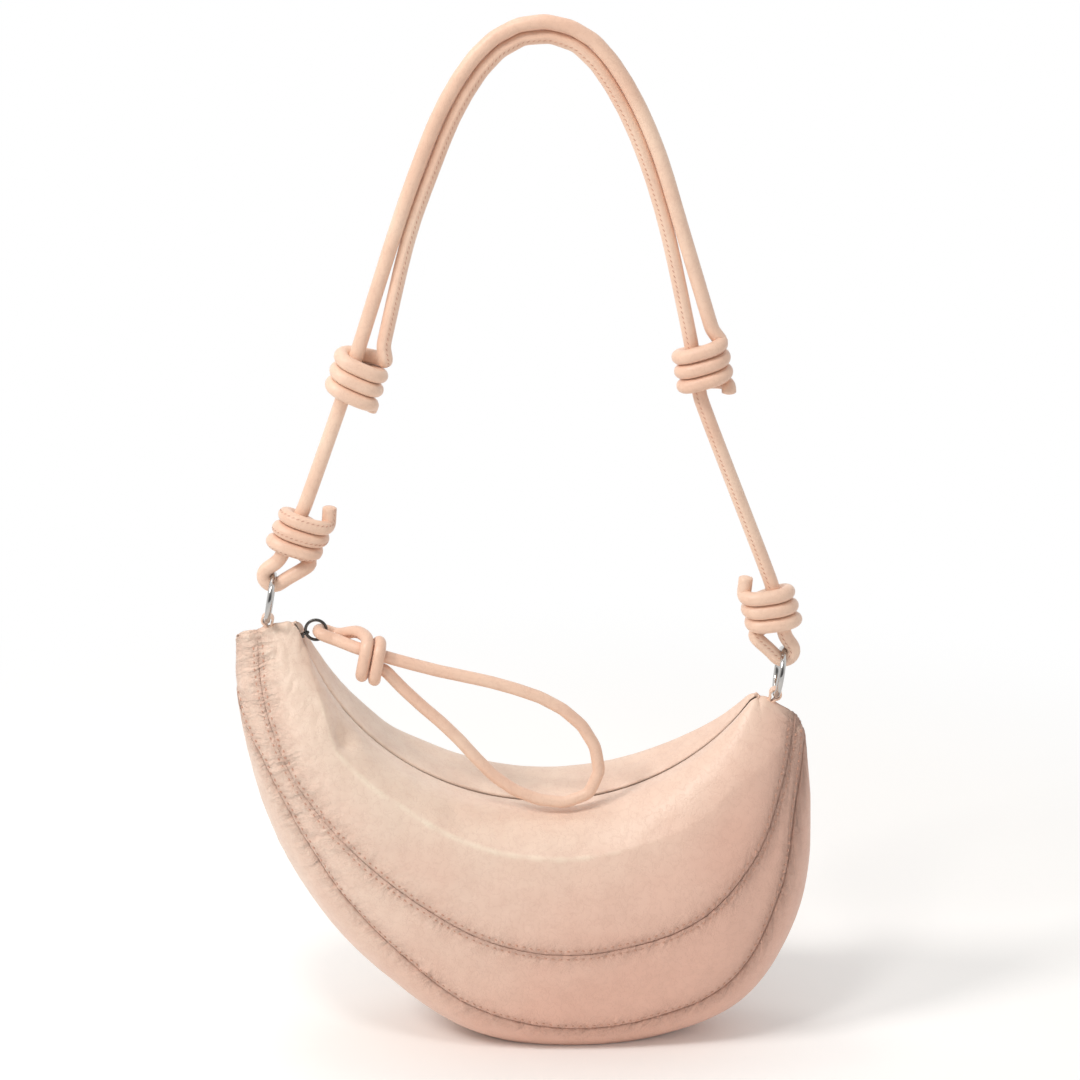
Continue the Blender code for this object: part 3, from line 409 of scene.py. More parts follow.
def leather_paint(name, cream, rose, grain_depth, body=False):
    """Soft glove leather: cream and rose tone at random, mottle, pebble grain, and fine creases painted
    darker as painted shade. On the body it is also painted cream towards the upper left and rose towards the
    lower right as painted light and shade, paler where it faces up and along the fold's crest as painted
    light and a painted highlight, and darker along the seams and in the gathers as painted shade.
    """
    paint = Paint(bpy.data.materials.new(name))
    tone = paint.between(paint.noise(14.0, 3.0), 0.35, 0.68)
    # On the body the leather is painted cream towards the upper left and rose towards the lower right:
    # painted light and shade, as the lamps fall from the upper left.
    if body:
        x, _, z = paint.parts(paint.place())
        tone = paint.between(x - z * 1.2 + tone * 0.08, -0.28, 0.08)
    colour = paint.mix(tone, srgb(*cream), srgb(*rose))
    # Leather that faces up, and the fold's crest, are painted paler: painted light and a painted highlight.
    if body:
        colour = paint.mix(paint.attribute("painted_light") * 0.9, colour, srgb(253, 236, 214))
    mottle = paint.between(paint.noise(90.0, 4.0, 0.6), 0.3, 0.75)
    colour = paint.mix(mottle * 0.16, colour, srgb(206, 160, 140))
    creases = 1.0 - paint.between(abs(paint.noise(170.0, 3.0, 0.6) - 0.5), 0.0, 0.045)
    # The fine crease lines are painted darker: painted shade in the creases.
    colour = paint.mix(creases * 0.10, colour, srgb(188, 138, 118))
    if body:
        colour = paint.mix(paint.attribute("seam_shade") * 0.14, colour, srgb(180, 124, 104))
    grain = paint.cells(1150.0) * 0.55 + paint.noise(2600.0, 2.0) * 0.3 + paint.noise(330.0, 3.0) * 0.5
    grain = grain - creases * 0.45
    if body:
        wrinkles = 1.0 - paint.between(abs(paint.noise(230.0, 2.0, 0.5) - 0.5), 0.0, 0.16)
        run = paint.attribute("run") * 360.0 + paint.noise(120.0, 2.0) * 2.5
        across = paint.node("ShaderNodeTexNoise", {"noise_dimensions": "1D"}, {"W": run, "Detail": 1.0})
        gathers = 1.0 - paint.between(abs(across - 0.5), 0.0, 0.2)
        gathered = paint.attribute("gather") * (wrinkles + gathers)
        # Leather near the seams is painted darker and warmer in its wrinkles and gathers: painted shade.
        colour = paint.mix(gathered * 0.22, colour, srgb(222, 160, 134))
        grain = grain - gathered * 2.1
    return paint.finish(
        Base_Color=colour,
        Roughness=0.31 + paint.noise(60.0, 3.0) * 0.14 + creases * 0.05,
        Specular_IOR_Level=0.45,
        Sheen_Weight=0.12,
        Sheen_Roughness=0.5,
        Normal=paint.bump(grain, grain_depth),
    )


def metal_paint(name, colour, roughness):
    """Polished metal with a faint fine bump and a slightly uneven polish."""
    paint = Paint(bpy.data.materials.new(name))
    cloud = paint.noise(220.0, 3.0)
    dull = (*(0.7 * part for part in colour[:3]), 1.0)
    return paint.finish(
        Base_Color=paint.mix(paint.between(cloud, 0.3, 0.8) * 0.25, colour, dull),
        Metallic=1.0,
        Roughness=roughness + cloud * 0.1,
        Normal=paint.bump(paint.noise(1500.0, 2.0), 0.004 * MM),
    )


def woven_paint(name, colour, shade, threads):
    """Cloth whose threads cross along the piece's own map, which is in metres."""
    paint = Paint(bpy.data.materials.new(name))
    parts = paint.parts(paint.node("ShaderNodeUVMap", {"uv_map": "UVMap"}))
    warp, weft = [part * (threads * 2 * math.pi) for part in parts[:2]]
    share = paint.between(warp.calculate("SINE", warp) * weft.calculate("SINE", weft), -1.0, 1.0)
    fibre = paint.noise(3000.0, 2.0)
    return paint.finish(
        Base_Color=paint.mix(share * 0.6 + fibre * 0.3, srgb(*shade), srgb(*colour)),
        Roughness=0.85 + fibre * 0.1,
        Normal=paint.bump(share + fibre * 0.3, 0.08 * MM),
    )


def thread_paint():
    paint = Paint(bpy.data.materials.new("waxed_thread"))
    ply = paint.noise(2400.0, 2.0)
    return paint.finish(
        Base_Color=paint.mix(ply, srgb(190, 138, 116), srgb(226, 178, 154)),
        Roughness=0.45 + ply * 0.2,
        Normal=paint.bump(ply, 0.05 * MM),
    )


def floor_paint():
    """A pale floor that fades to white round the bag, for the camera and for reflections alone; its glow is
    left out close to the bag, which paints the floor darker there as painted contact shadow.
    """
    paint = Paint(bpy.data.materials.new("studio_floor"))
    paint.tree.nodes.remove(paint.shader)
    camera, glossy = paint.rays()
    seen = camera.calculate("MAXIMUM", camera, glossy)
    far = paint.node("ShaderNodeVectorMath", {"operation": "LENGTH"}, {0: paint.place()}, output="Value")
    fade = paint.between(far, 0.40, 0.80)
    colour = paint.mix(paint.noise(6.0, 2.0), srgb(252, 250, 248), srgb(255, 254, 252))
    diffuse = paint.node("ShaderNodeBsdfDiffuse", None, {"Color": colour})
    # The glow grows from nothing within 3 cm of the bag to full at 22 cm, so the floor close to the bag is
    # painted darker: painted contact shadow.
    lift = paint.node("ShaderNodeEmission", None, {"Strength": seen * paint.between(far, 0.03, 0.22) * 0.13})
    lit = paint.node("ShaderNodeAddShader", None, {0: diffuse, 1: lift})
    white = paint.node("ShaderNodeEmission", None, {"Strength": 1.0})
    mixed = paint.node("ShaderNodeMixShader", None, {0: seen * fade, 1: lit, 2: white})
    paint.feed(paint.tree.nodes["Material Output"].inputs["Surface"], mixed)
    return paint.owner


def light_studio():
    """A white surround, dimmer as a light and dark in reflections of the front, with lamps and a floor."""
    scene = bpy.context.scene
    scene.view_settings.view_transform = "Standard"
    scene.world = bpy.data.worlds.new("studio")
    sky = Paint(scene.world, "Background")
    camera, glossy = sky.rays()
    _, y, _ = sky.parts(sky.node("ShaderNodeTexCoord", output="Generated"))
    mirrored = sky.node("ShaderNodeMapRange", None, {0: y, 1: -0.9, 2: -0.1, 3: 0.12, 4: 1.1})
    reflected = sky.node("ShaderNodeMix", None, {0: glossy, 2: SOFT_LIGHT, 3: mirrored})
    strength = sky.node("ShaderNodeMix", None, {0: camera, 2: reflected, 3: 1.0})
    sky.finish(Color=(1.0, 0.995, 0.99, 1.0), Strength=strength)
    for lamp in LAMPS:
        add_lamp(*lamp)

    floor = bmesh.new()
    bmesh.ops.create_grid(floor, x_segments=1, y_segments=1, size=9.0)
    piece = add_object("studio_floor", mesh_of("studio_floor", floor))
    piece.data.materials.append(floor_paint())


# Making pieces


def add_piece(mesh, body, slot, *nodes, paint=None):
    piece = add_object(mesh.name, mesh)
    mesh.materials.append(paints[paint or slot])
    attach(piece, body)
    if nodes:
        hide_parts(*nodes)
    return piece


def mesh_of(name, shape, sharp=None):
    mesh = bpy.data.meshes.new(name)
    shape.to_mesh(mesh)
    shape.free()
    mesh.shade_smooth()
    if sharp:
        mesh.set_sharp_from_angle(angle=math.radians(sharp))
    return mesh


def grid_mesh(name, place, columns, rows, flip=False, weld=0.0):
    """A sheet of faces whose points the function places: it takes shares along and across, as a grid."""
    shape = bmesh.new()
    shape.loops.layers.uv.new("UVMap")
    bmesh.ops.create_grid(shape, x_segments=columns, y_segments=rows, size=0.5, calc_uvs=True)
    shape.verts.ensure_lookup_table()
    flat = np.array([vert.co for vert in shape.verts])
    order = np.lexsort((flat[:, 1], flat[:, 0]))
    count = len(np.unique(np.round(flat[:, 1], 6)))
    along = flat[order, 0].reshape(-1, count)[:, 0] + 0.5
    across = flat[order, 1].reshape(-1, count)[0] + 0.5
    points = place(along, across)
    for number, point in zip(order, points.reshape(-1, 3)):
        shape.verts[number].co = point
    if flip:
        bmesh.ops.reverse_faces(shape, faces=shape.faces)
    if weld:
        bmesh.ops.remove_doubles(shape, verts=shape.verts, dist=weld)
    return mesh_of(name, shape), order


def thicken(piece, thickness, offset=-1.0):
    wall = piece.modifiers.new("wall", "SOLIDIFY")
    wall.thickness = thickness
    wall.offset = offset


def repeated(name, bead, frames):
    """One mesh that holds the bead at each of the frames."""
    points = np.array([vert.co for vert in bead.vertices])
    faces = [tuple(face.vertices) for face in bead.polygons]
    all_points, all_faces = [], []
    for number, place in enumerate(frames):
        turn = np.array(place)
        all_points.append(points @ turn[:3, :3].T + turn[:3, 3])
        first = number * len(points)
        all_faces += [tuple(first + corner for corner in face) for face in faces]
    mesh = bpy.data.meshes.new(name)
    mesh.from_pydata(np.concatenate(all_points), [], all_faces)
    mesh.shade_smooth()
    return mesh


def at_places(places, run, table):
    """The points of a table at places along its line. run holds the distance of each of its points."""
    return np.stack([np.interp(places, run, column) for column in np.asarray(table).T], axis=-1)


def bell(apart):
    return np.exp(-(apart**2))


def lumps(points, size, seed, stretch=(1.0, 1.0, 1.0)):
    """Smooth noise of about -1 to 1 at points, with lumps of about that size."""
    flat = points.reshape(-1, 3) / (size * np.array(stretch)) + seed
    return np.array([noise.noise(point) for point in flat]).reshape(points.shape[:-1]) * 1.6


# Shape of the body


def dome(distance, reach):
    """From 0 at an edge to 1 as far from it as the reach, as a quarter of a circle goes."""
    rest = 1 - np.clip(distance / reach, 0.0, 1.0)
    return np.sqrt(np.maximum(1 - rest**2, 0.0))


def between_points(before, here, there, after, part):
    """A smooth curve through four points, at a share of the way from the second to the third."""
    linear = there - before
    square = 2 * before - 5 * here + 4 * there - after
    cube = 3 * here - before - 3 * there + after
    return here + 0.5 * part * (linear + part * (square + part * cube))


def smooth(values, places):
    """Smooth values at places from 0 to 1 along evenly spaced ones."""
    values = np.asarray(values, float)
    last = len(values) - 1
    along = np.clip(places, 0.0, 1.0) * last
    start = np.minimum(along.astype(int), last - 1)
    part = (along - start).reshape(np.shape(along) + (1,) * (values.ndim - 1))
    corners = (np.maximum(start - 1, 0), start, start + 1, np.minimum(start + 2, last))
    return between_points(*(values[corner] for corner in corners), part)


def along_bag(angle):
    return (angle - LEFT_TIP) / (RIGHT_TIP - LEFT_TIP)


def belly_depth(angle):
    return BELLY_DEPTH * smooth(DEPTH_SHARES, along_bag(angle))


def outline(angle, skin):
    """Points (y, distance from the arc's axis) from the front edge of the slot round to the back edge."""
    from_middle = min(abs(2 * along_bag(angle) - 1), 1.0)
    fullness = (1 - from_middle**TAPER_POWER) ** TAPER_SHARPNESS
    width = TIP_HALF_WIDTH + (BODY_HALF_WIDTH - TIP_HALF_WIDTH) * fullness - skin
    depth = float(belly_depth(angle)) - 2 * skin
    top = ZIP_RADIUS + skin
    halves = []
    for side, shares in ((-1, FRONT_SECTION_SHARES), (1, BACK_SECTION_SHARES)):
        half = [(side * SLOT_HALF_WIDTH, top)]
        for number, (across, down) in enumerate(zip(*shares)):
            start = SLOT_HALF_WIDTH if number < SHOULDER_POINTS else 0.0
            half.append((side * (start + across * (width - start)), top + down * depth))
        halves.append(half)
    front, back = halves
    return np.array([*front, (0.0, top + KEEL_DEPTH_SHARE * depth), *reversed(back)])


def in_space(angle, y, distance):
    x = ARC_X + distance * np.sin(angle)
    return np.stack([x, y + 0.0 * x, ARC_HEIGHT - distance * np.cos(angle)], axis=-1)


def corner_rounded(along, away, radius):
    """Distances from a corner's two sides, drawn in so that the corner is round."""
    inner_along, inner_away = np.maximum(radius - along, 0.0), np.maximum(radius - away, 0.0)
    share = np.maximum(inner_along, inner_away) / np.maximum(np.hypot(inner_along, inner_away), 1e-9)
    near = (inner_along > 0) & (inner_away > 0)
    drawn_along, drawn_away = radius - inner_along * share, radius - inner_away * share
    return np.where(near, drawn_along, along), np.where(near, drawn_away, away)


def skin_points(angles, places, skin):
    """The points at each angle and at that angle's places across, under the outer face by skin."""
    columns = []
    for angle, across in zip(angles, places):
        y, distance = smooth(outline(angle, skin), across).T
        floor = (ARC_HEIGHT - skin) / max(math.cos(angle), 1e-6)
        distance = np.minimum(distance, floor)
        side, tip = (-1, LEFT_TIP) if angle < 0 else (1, RIGHT_TIP)
        reach = side * (tip - angle) * distance
        width = y * dome(reach, TIP_ROUNDING)
        by_zip, at_keel = CORNERS[side]
        reach, down = corner_rounded(reach, distance - ZIP_RADIUS - skin, by_zip)
        keel_depth = KEEL_DEPTH_SHARE * float(belly_depth(angle))
        reach, up = corner_rounded(reach, keel_depth - down, at_keel)
        distance = ZIP_RADIUS + skin + keel_depth - up
        columns.append(in_space(tip - side * reach / distance, width, distance))
    return np.array(columns)


def seam_places(angles, shares, back):
    """The place across the bag at which the seam runs, or the keel where it doesn't."""
    steps = np.linspace(0.85 if back else 0.05, 0.5, 400)
    found = []
    for angle in angles:
        wanted = ZIP_RADIUS + float(belly_depth(angle) * smooth(shares, along_bag(angle)))
        found.append(np.interp(wanted, smooth(outline(angle, 0.0), steps)[:, 1], steps))
    return np.array(found)


def outward(points):
    """Unit normals of a grid on the skin, which point out of the bag."""
    along = np.gradient(points, axis=0)
    across = np.gradient(points, axis=1)
    normals = np.cross(across, along)
    length = np.linalg.norm(normals, axis=-1, keepdims=True)
    return normals / np.maximum(length, 1e-12)


def running(points, axis):
    """The distance run from the first point along an axis of a grid."""
    steps = np.linalg.norm(np.diff(points, axis=axis), axis=-1)
    start = np.zeros_like(np.take(steps, [0], axis=axis))
    return np.concatenate([start, np.cumsum(steps, axis=axis)], axis=axis)


def line_run(points):
    """The distance run from the first point of a line."""
    return running(np.asarray(points)[:, None], 0)[:, 0]


def edge_shape(distance, along, kind, seed, gathers_here):
    """Height of the leather by its distance from a sewn edge and by its place along it."""
    roll, reach, pucker, pucker_reach, pitch, pull = EDGES[kind]
    from_tip = np.minimum(along, along[-1:] - along)
    fade = np.clip(from_tip / ROLL_FADE, 0.3, 1.0)
    height = -roll * fade * (1 - dome(distance, reach))
    if pucker:
        grid = np.stack([along / pitch, distance / (3 * pitch), 0.0 * distance], axis=-1)
        gathers = np.abs(lumps(grid, 1.0, seed)) - 0.35
        uneven = 0.4 * lumps(grid * (0.13, 0.0, 0.0), 1.0, seed + 9.1)
        strength = 0.6 + uneven + 0.5 * np.exp(-along / LEFT_PUCKER_FADE)
        reached = np.exp(-distance / pucker_reach) * np.clip(distance / (0.6 * reach), 0.0, 1.0)
        height = height + pucker * gathers * strength * reached * gathers_here
    return height - pull * bell((distance - STITCH_INSET) / STITCH_PULL_WIDTH)


def leftwards(points, start, over):
    """A share that grows from 0 to 1 towards the left, from a place on X and over a length."""
    return np.clip((start - points[..., 0]) / over, 0.0, 1.0)


def soft_shape(points, middle):
    """Height of the soft waves, dents and creases over the leather. middle is 0 at a panel's edges."""
    height = sum(tall * lumps(points, size, seed) * middle for tall, size, seed in WAVES)
    creases = np.abs(lumps(points, LEFT_CREASE_SIZE, 7.3, (0.7, 1.0, 1.6))) - 0.4
    height = height + LEFT_CREASE * leftwards(points, *LEFT_CREASED) * creases
    height = height + FINE_CREASE * (np.abs(lumps(points, FINE_CREASE_SIZE, 21.3)) - 0.4) * middle
    for place, depth, reach in DENTS:
        height = height - depth * bell(np.linalg.norm(points - np.array(place), axis=-1) / reach)
    return height


def fold_at(angles):
    """The fold's place across, its strength and how strong the highlight painted on its crest is."""
    turns, *columns = np.array(FOLD).T
    return [np.interp(angles, np.radians(turns), column) for column in columns]


def fold_shape(points, angles, places, from_first):
    """Height of the fold along the upper panel, and the highlight painted along its crest."""
    crests, strengths, highlight_strengths = fold_at(angles)
    middle = [np.interp(crest, row, run) for crest, row, run in zip(crests, places, from_first)]
    apart = from_first - np.array(middle)[:, None]
    height = FOLD_HEIGHT * strengths[:, None] * np.exp(-np.sqrt(apart**2 + FOLD_SOFTNESS**2) / FOLD_REACH)
    painted_shine = highlight_strengths[:, None] * (0.8 + 0.35 * lumps(points, FOLD_HIGHLIGHT_PATCH_SIZE, 31.7))
    return height, painted_shine * bell(apart / FOLD_SHINE)


def bunched(shares, crest=None):
    """Shares from 0 to 1 that lie closer together near both ends, and at a crest between them."""
    fine = np.linspace(0.0, 1.0, 501)
    crowd = 1 + 2.2 * np.exp(-fine / 0.05) + 2.2 * np.exp((fine - 1) / 0.05)
    if crest is not None:
        crowd = crowd + 3.0 * bell((fine - crest) / 0.05)
    run = np.concatenate([[0.0], np.cumsum((crowd[1:] + crowd[:-1]) / 2)])
    return np.interp(shares * run[-1], run, fine)


class Panel:
    """One leather panel between two edges, each given by its place across at every angle."""

    def __init__(self, name, angles, first, last, kinds, waves, seed):
        self.name = name
        self.angles = angles
        self.first, self.last = first, last
        self.kinds = kinds
        self.waves = waves
        self.seed = seed
        self.folded = name == "front_upper_leather"

    def place(self, along, across):
        self.turns = np.interp(bunched(along), np.linspace(0.0, 1.0, len(self.angles)), self.angles)
        first, last = [np.interp(self.turns, self.angles, edge)[:, None] for edge in (self.first, self.last)]
        crests = [None] * len(self.turns)
        if self.folded:
            crests = fold_at(self.turns)[0] / np.maximum(last[:, 0], 1e-6)
        rows = first + (last - first) * np.array([bunched(across, crest) for crest in crests])
        points = skin_points(self.turns, rows, 0.0)
        normals = outward(points)
        from_first, self.run = running(points, 1), running(points, 0)
        width = from_first[:, -1:]
        middle = np.clip(4 * from_first * (width - from_first) / np.maximum(width, 1e-6) ** 2, 0.0, 1.0)
        height = soft_shape(points, middle) * self.waves
        gathered = np.interp(np.degrees(self.turns), *np.array(GATHERED).T)[:, None]
        edges = ((from_first, self.run[:, :1]), (width - from_first, self.run[:, -1:]))
        for number, (kind, (distance, edge)) in enumerate(zip(self.kinds, edges)):
            calm, seed = gathered if kind == "gathered" else 1.0, self.seed + 5.0 * number
            height = height + edge_shape(distance, edge + 0.0 * distance, kind, seed, calm)
        # Painted light: the more the leather faces up, the paler it is painted.
        facing = np.clip((normals[..., 2] - 0.2) / 0.5, 0.0, 1.0)
        self.painted_light = 0.35 * facing * facing * (3 - 2 * facing)
        # The fold's crest also gets a painted highlight.
        if self.folded:
            fold, shine = fold_shape(points, self.turns, rows, from_first)
            height = height + fold
            self.painted_light = np.maximum(self.painted_light, shine)
        self.points = points + normals * height[..., None]
        self.points[..., 2] = np.maximum(self.points[..., 2], FLOOR_GAP)
        self.normals = outward(self.points)
        self.from_first = running(self.points, 1)
        return self.points

    def make(self):
        mesh, order = grid_mesh(self.name, self.place, PANEL_COLUMNS, PANEL_ROWS, flip=True)
        distances = (self.from_first, self.from_first[:, -1:] - self.from_first)
        near = np.minimum.reduce([distance for kind, distance in zip(self.kinds, distances) if kind != "lip"])
        left = leftwards(self.points, *LEFT_GATHERED)
        reach = BASE_CREASE_REACH if self.name == "base_leather" else CREASE_REACH + LEFT_CREASE_REACH * left
        shades = {
            "seam_shade": np.exp(-near / SEAM_SHADE_REACH),
            "painted_light": self.painted_light,
            "gather": np.exp(-near / reach) * (0.9 + 0.05 * left),
            "run": self.run,
        }
        for name, values in shades.items():
            ordered = np.empty(len(order))
            ordered[order] = values.reshape(-1)
            mesh.attributes.new(name, "FLOAT", "POINT").data.foreach_set("value", ordered)
        thicken(add_piece(mesh, "bag", "leather", self.name.replace("_leather", "_panel")), LEATHER)

    def line(self, edge, inset, reach):
        """Points and normals on a line beside one edge, as far in as the inset, between two angles."""
        places = [inset if edge == 0 else run[-1] - inset for run in self.from_first]
        wide = (self.from_first[:, -1] > 3 * inset) & (self.turns > reach[0]) & (self.turns < reach[1])
        return [
            np.array([at_places(*row) for row in zip(places, self.from_first, table)])[wide]
            for table in (self.points, self.normals)
        ]


def stitch_bead(length, width, height):
    bead = bmesh.new()
    bmesh.ops.create_uvsphere(bead, u_segments=8, v_segments=6, radius=0.5)
    bmesh.ops.rotate(bead, cent=(0, 0, 0), matrix=Matrix.Rotation(math.pi / 2, 3, "Y"), verts=bead.verts)
    bmesh.ops.scale(bead, vec=(length, width, height), verts=bead.verts)
    return mesh_of("stitch_bead", bead)


def stitch_frames(points, normals, pitch, lift, slant=0.0):
    """A frame for each stitch along a line: X along the line and Z out of the leather."""
    run = line_run(points)
    count = int(run[-1] / pitch)
    places = (np.arange(count) + 0.5) * run[-1] / count
    heres, aheads = at_places(places, run, points), at_places(places + 0.5 * MM, run, points)
    frames = []
    for here, ahead, up in zip(heres, aheads, at_places(places, run, normals)):
        along, up = Vector(ahead - here).normalized(), Vector(up)
        up = (up - up.project(along)).normalized()
        turn = Matrix.Rotation(slant, 3, up) @ Matrix((along, up.cross(along), up)).transposed()
        frames.append(Matrix.Translation(Vector(here) + up * lift) @ turn.to_4x4())
    return frames


def make_body():
    angles = np.linspace(LEFT_TIP, RIGHT_TIP, SEAM_STATIONS)
    front_upper = seam_places(angles, UPPER_SEAM_SHARES, back=False)
    front_lower = seam_places(angles, LOWER_SEAM_SHARES, back=False)
    back_lower = seam_places(angles, LOWER_SEAM_SHARES, back=True)
    back_upper = seam_places(angles, UPPER_SEAM_SHARES, back=True)
    seams = (0.0 * angles, front_upper, front_lower, back_lower, back_upper, 0.0 * angles + 1.0)
    kinds = ("lip", "topstitched", "gathered", "gathered", "topstitched", "lip")
    open_base = back_lower - front_lower > LEAST_BASE_SHARE
    base = slice(int(np.argmax(open_base)), len(angles) - int(np.argmax(open_base[::-1])))
    panels = []
    for number, (name, waves) in enumerate(PANELS):
        part = base if name == "base_leather" else slice(None)
        edges = [seam[part] for seam in seams[number : number + 2]]
        panels.append(Panel(name, angles[part], *edges, kinds[number : number + 2], waves, number + 1.0))
        panels[-1].make()
    upper_front, lower_front, _, lower_back, upper_back = panels
    rows = {
        "front_upper_stitching": ((upper_front, 1), (lower_front, 0)),
        "front_lower_stitching": ((lower_front, 1),),
        "back_upper_stitching": ((upper_back, 0), (lower_back, 1)),
        "back_lower_stitching": ((lower_back, 0),),
    }
    bead = stitch_bead(*BODY_STITCH)
    for name, lines in rows.items():
        frames = []
        reach = (LEFT_TIP + UPPER_STITCHES_END, RIGHT_TIP - UPPER_STITCHES_END)
        if "lower" in name:
            reach = (angles[base][0], angles[base][-1])
        for panel, edge in lines:
            frames += stitch_frames(*panel.line(edge, STITCH_INSET, reach), STITCH_PITCH, STITCH_LIFT)
        add_piece(repeated(name, bead, frames), "bag", "leather", paint="thread")
    make_linings(angles)


def make_linings(angles):
    inner = angles[(angles > LEFT_TIP + LINING_END) & (angles < RIGHT_TIP - LINING_END)]
    for side, first, last in LININGS:

        def place(along, across, first=first, last=last):
            places = np.interp(along, np.linspace(0.0, 1.0, len(inner)), inner)
            across_here = np.tile(first + (last - first) * across, (len(places), 1))
            points = skin_points(places, across_here, LINING_SKIN)
            wave = LINING_WAVE * lumps(points, LINING_WAVE_SIZE, 5.0)
            height = soft_shape(points, 1.0) - LINING_SLACK + wave
            return points + outward(points) * np.minimum(height, 0.0)[..., None]

        mesh, _ = grid_mesh(f"lining_cloth_{side}", place, 180, 70, flip=True)
        scale_map(mesh, *LINING_MAP)
        thicken(add_piece(mesh, "bag", "lining", f"lining_{side}"), LINING)


def scale_map(mesh, length, width):
    """Gives the mesh's own map its size in metres."""
    layer = mesh.uv_layers["UVMap"].data
    flat = np.empty(len(layer) * 2, np.float32)
    layer.foreach_get("uv", flat)
    layer.foreach_set("uv", (flat.reshape(-1, 2) * (length, width)).astype(np.float32).reshape(-1))


# Zip


def make_tapes():
    for name, way in (("front", -1), ("back", 1)):

        def place(along, across, way=way):
            columns = []
            for angle in ZIP_FIRST + (ZIP_LAST - ZIP_FIRST) * along:
                steps = np.linspace(0.0, 0.2, 60) if way < 0 else np.linspace(1.0, 0.8, 60)
                section = smooth(outline(angle, LEATHER), steps)
                reach, down = np.abs(section[:, 0]), section[:, 1] - ZIP_RADIUS
                covered = float(reach[down < TAPE_TOP - TAPE_COVER].max()) - TAPE_EDGE_GAP
                edge = max(min(TAPE_OUTER_EDGE, covered), TAPE_INNER_EDGE + TAPE_LEAST_WIDTH)
                y = TAPE_INNER_EDGE + (edge - TAPE_INNER_EDGE) * across
                depth = np.clip(np.interp(y, reach, down) + TAPE_GAP + LEATHER, 0.0, TAPE_TOP)
                depth = TAPE_TOP + (depth - TAPE_TOP) * np.clip((y - TAPE_FLAT) / TAPE_RISE, 0.0, 1.0)
                columns.append(in_space(angle, way * y, ZIP_RADIUS + depth))
            return np.array(columns)

        mesh, _ = grid_mesh(f"zip_cloth_{name}", place, 220, 10, flip=way < 0)
        scale_map(mesh, *TAPE_MAP)
        thicken(add_piece(mesh, "bag", "tape", f"zip_tape_{name}"), TAPE)


def on_zip(angle):
    """A frame on the slot's face: X along the zip, Y to the back, Z out of the bag."""
    return Matrix.Translation(in_space(angle, 0.0, ZIP_RADIUS)) @ Matrix.Rotation(-angle, 4, "Y")


def rounded(shape, edges, width, segments=2):
    bmesh.ops.bevel(
        shape, geom=edges, offset=width, segments=segments, profile=0.5, affect="EDGES", material=-1
    )
    return shape


def block(low, high):
    """A box, as a bmesh."""
    shape = bmesh.new()
    low, high = Vector(low), Vector(high)
    bmesh.ops.create_cube(shape, size=1.0)
    bmesh.ops.scale(shape, vec=high - low, verts=shape.verts)
    bmesh.ops.translate(shape, vec=(low + high) / 2, verts=shape.verts)
    return shape


def make_teeth():
    """Metal teeth, each clamped round the beaded edge of its tape, apart as the slider leaves them."""
    for side, turn, stagger in (("front", math.pi, 0.25), ("back", 0.0, 0.75)):
        tooth = block(*TOOTH)
        rounded(tooth, tooth.edges[:], TOOTH_EDGE, 1)
        bmesh.ops.rotate(tooth, cent=(0, 0, 0), matrix=Matrix.Rotation(turn, 3, "Z"), verts=tooth.verts)
        bead = mesh_of("tooth", tooth, METAL_SHARP)
        first, last = ZIP_FIRST + TEETH_END_GAP / ZIP_RADIUS, ZIP_LAST - TEETH_END_GAP / ZIP_RADIUS
        count = int((last - first) * ZIP_RADIUS / TOOTH_PITCH)
        frames = [on_zip(first + (last - first) * (number + stagger) / count) for number in range(count)]
        add_piece(repeated(f"zip_metal_{side}", bead, frames), "bag", "teeth", f"zip_teeth_{side}")


def joined_mesh(name, shapes):
    """One mesh from several bmeshes."""
    whole = bmesh.new()
    for shape in shapes:
        part = bpy.data.meshes.new("part")
        shape.to_mesh(part)
        shape.free()
        whole.from_mesh(part)
        bpy.data.meshes.remove(part)
    return mesh_of(name, whole, METAL_SHARP)


def slider_plate(top):
    """A plate that is waisted at its rear, with rounded corners."""
    low = (SLIDER_REAR, -SLIDER_HALF_WIDTH, -top - SLIDER_PLATE)
    plate = block(low, (SLIDER_REAR + SLIDER_LENGTH, SLIDER_HALF_WIDTH, -top))
    lengthways = [edge for edge in plate.edges if abs(edge.verts[0].co.x - edge.verts[1].co.x) > MM]
    bmesh.ops.subdivide_edges(plate, edges=lengthways, cuts=7)
    for vert in plate.verts:
        share = (vert.co.x - SLIDER_REAR) / SLIDER_LENGTH
        waist = 0.22 * math.sin(math.pi * min(share / 0.8, 1.0)) ** 2
        vert.co.y *= 1.0 - waist - 0.18 * max(0.0, share - 0.8) / 0.2
    rims = [edge for edge in plate.edges if edge.is_boundary or edge.calc_face_angle(0.0) > 0.9]
    return rounded(plate, rims, SLIDER_EDGE)


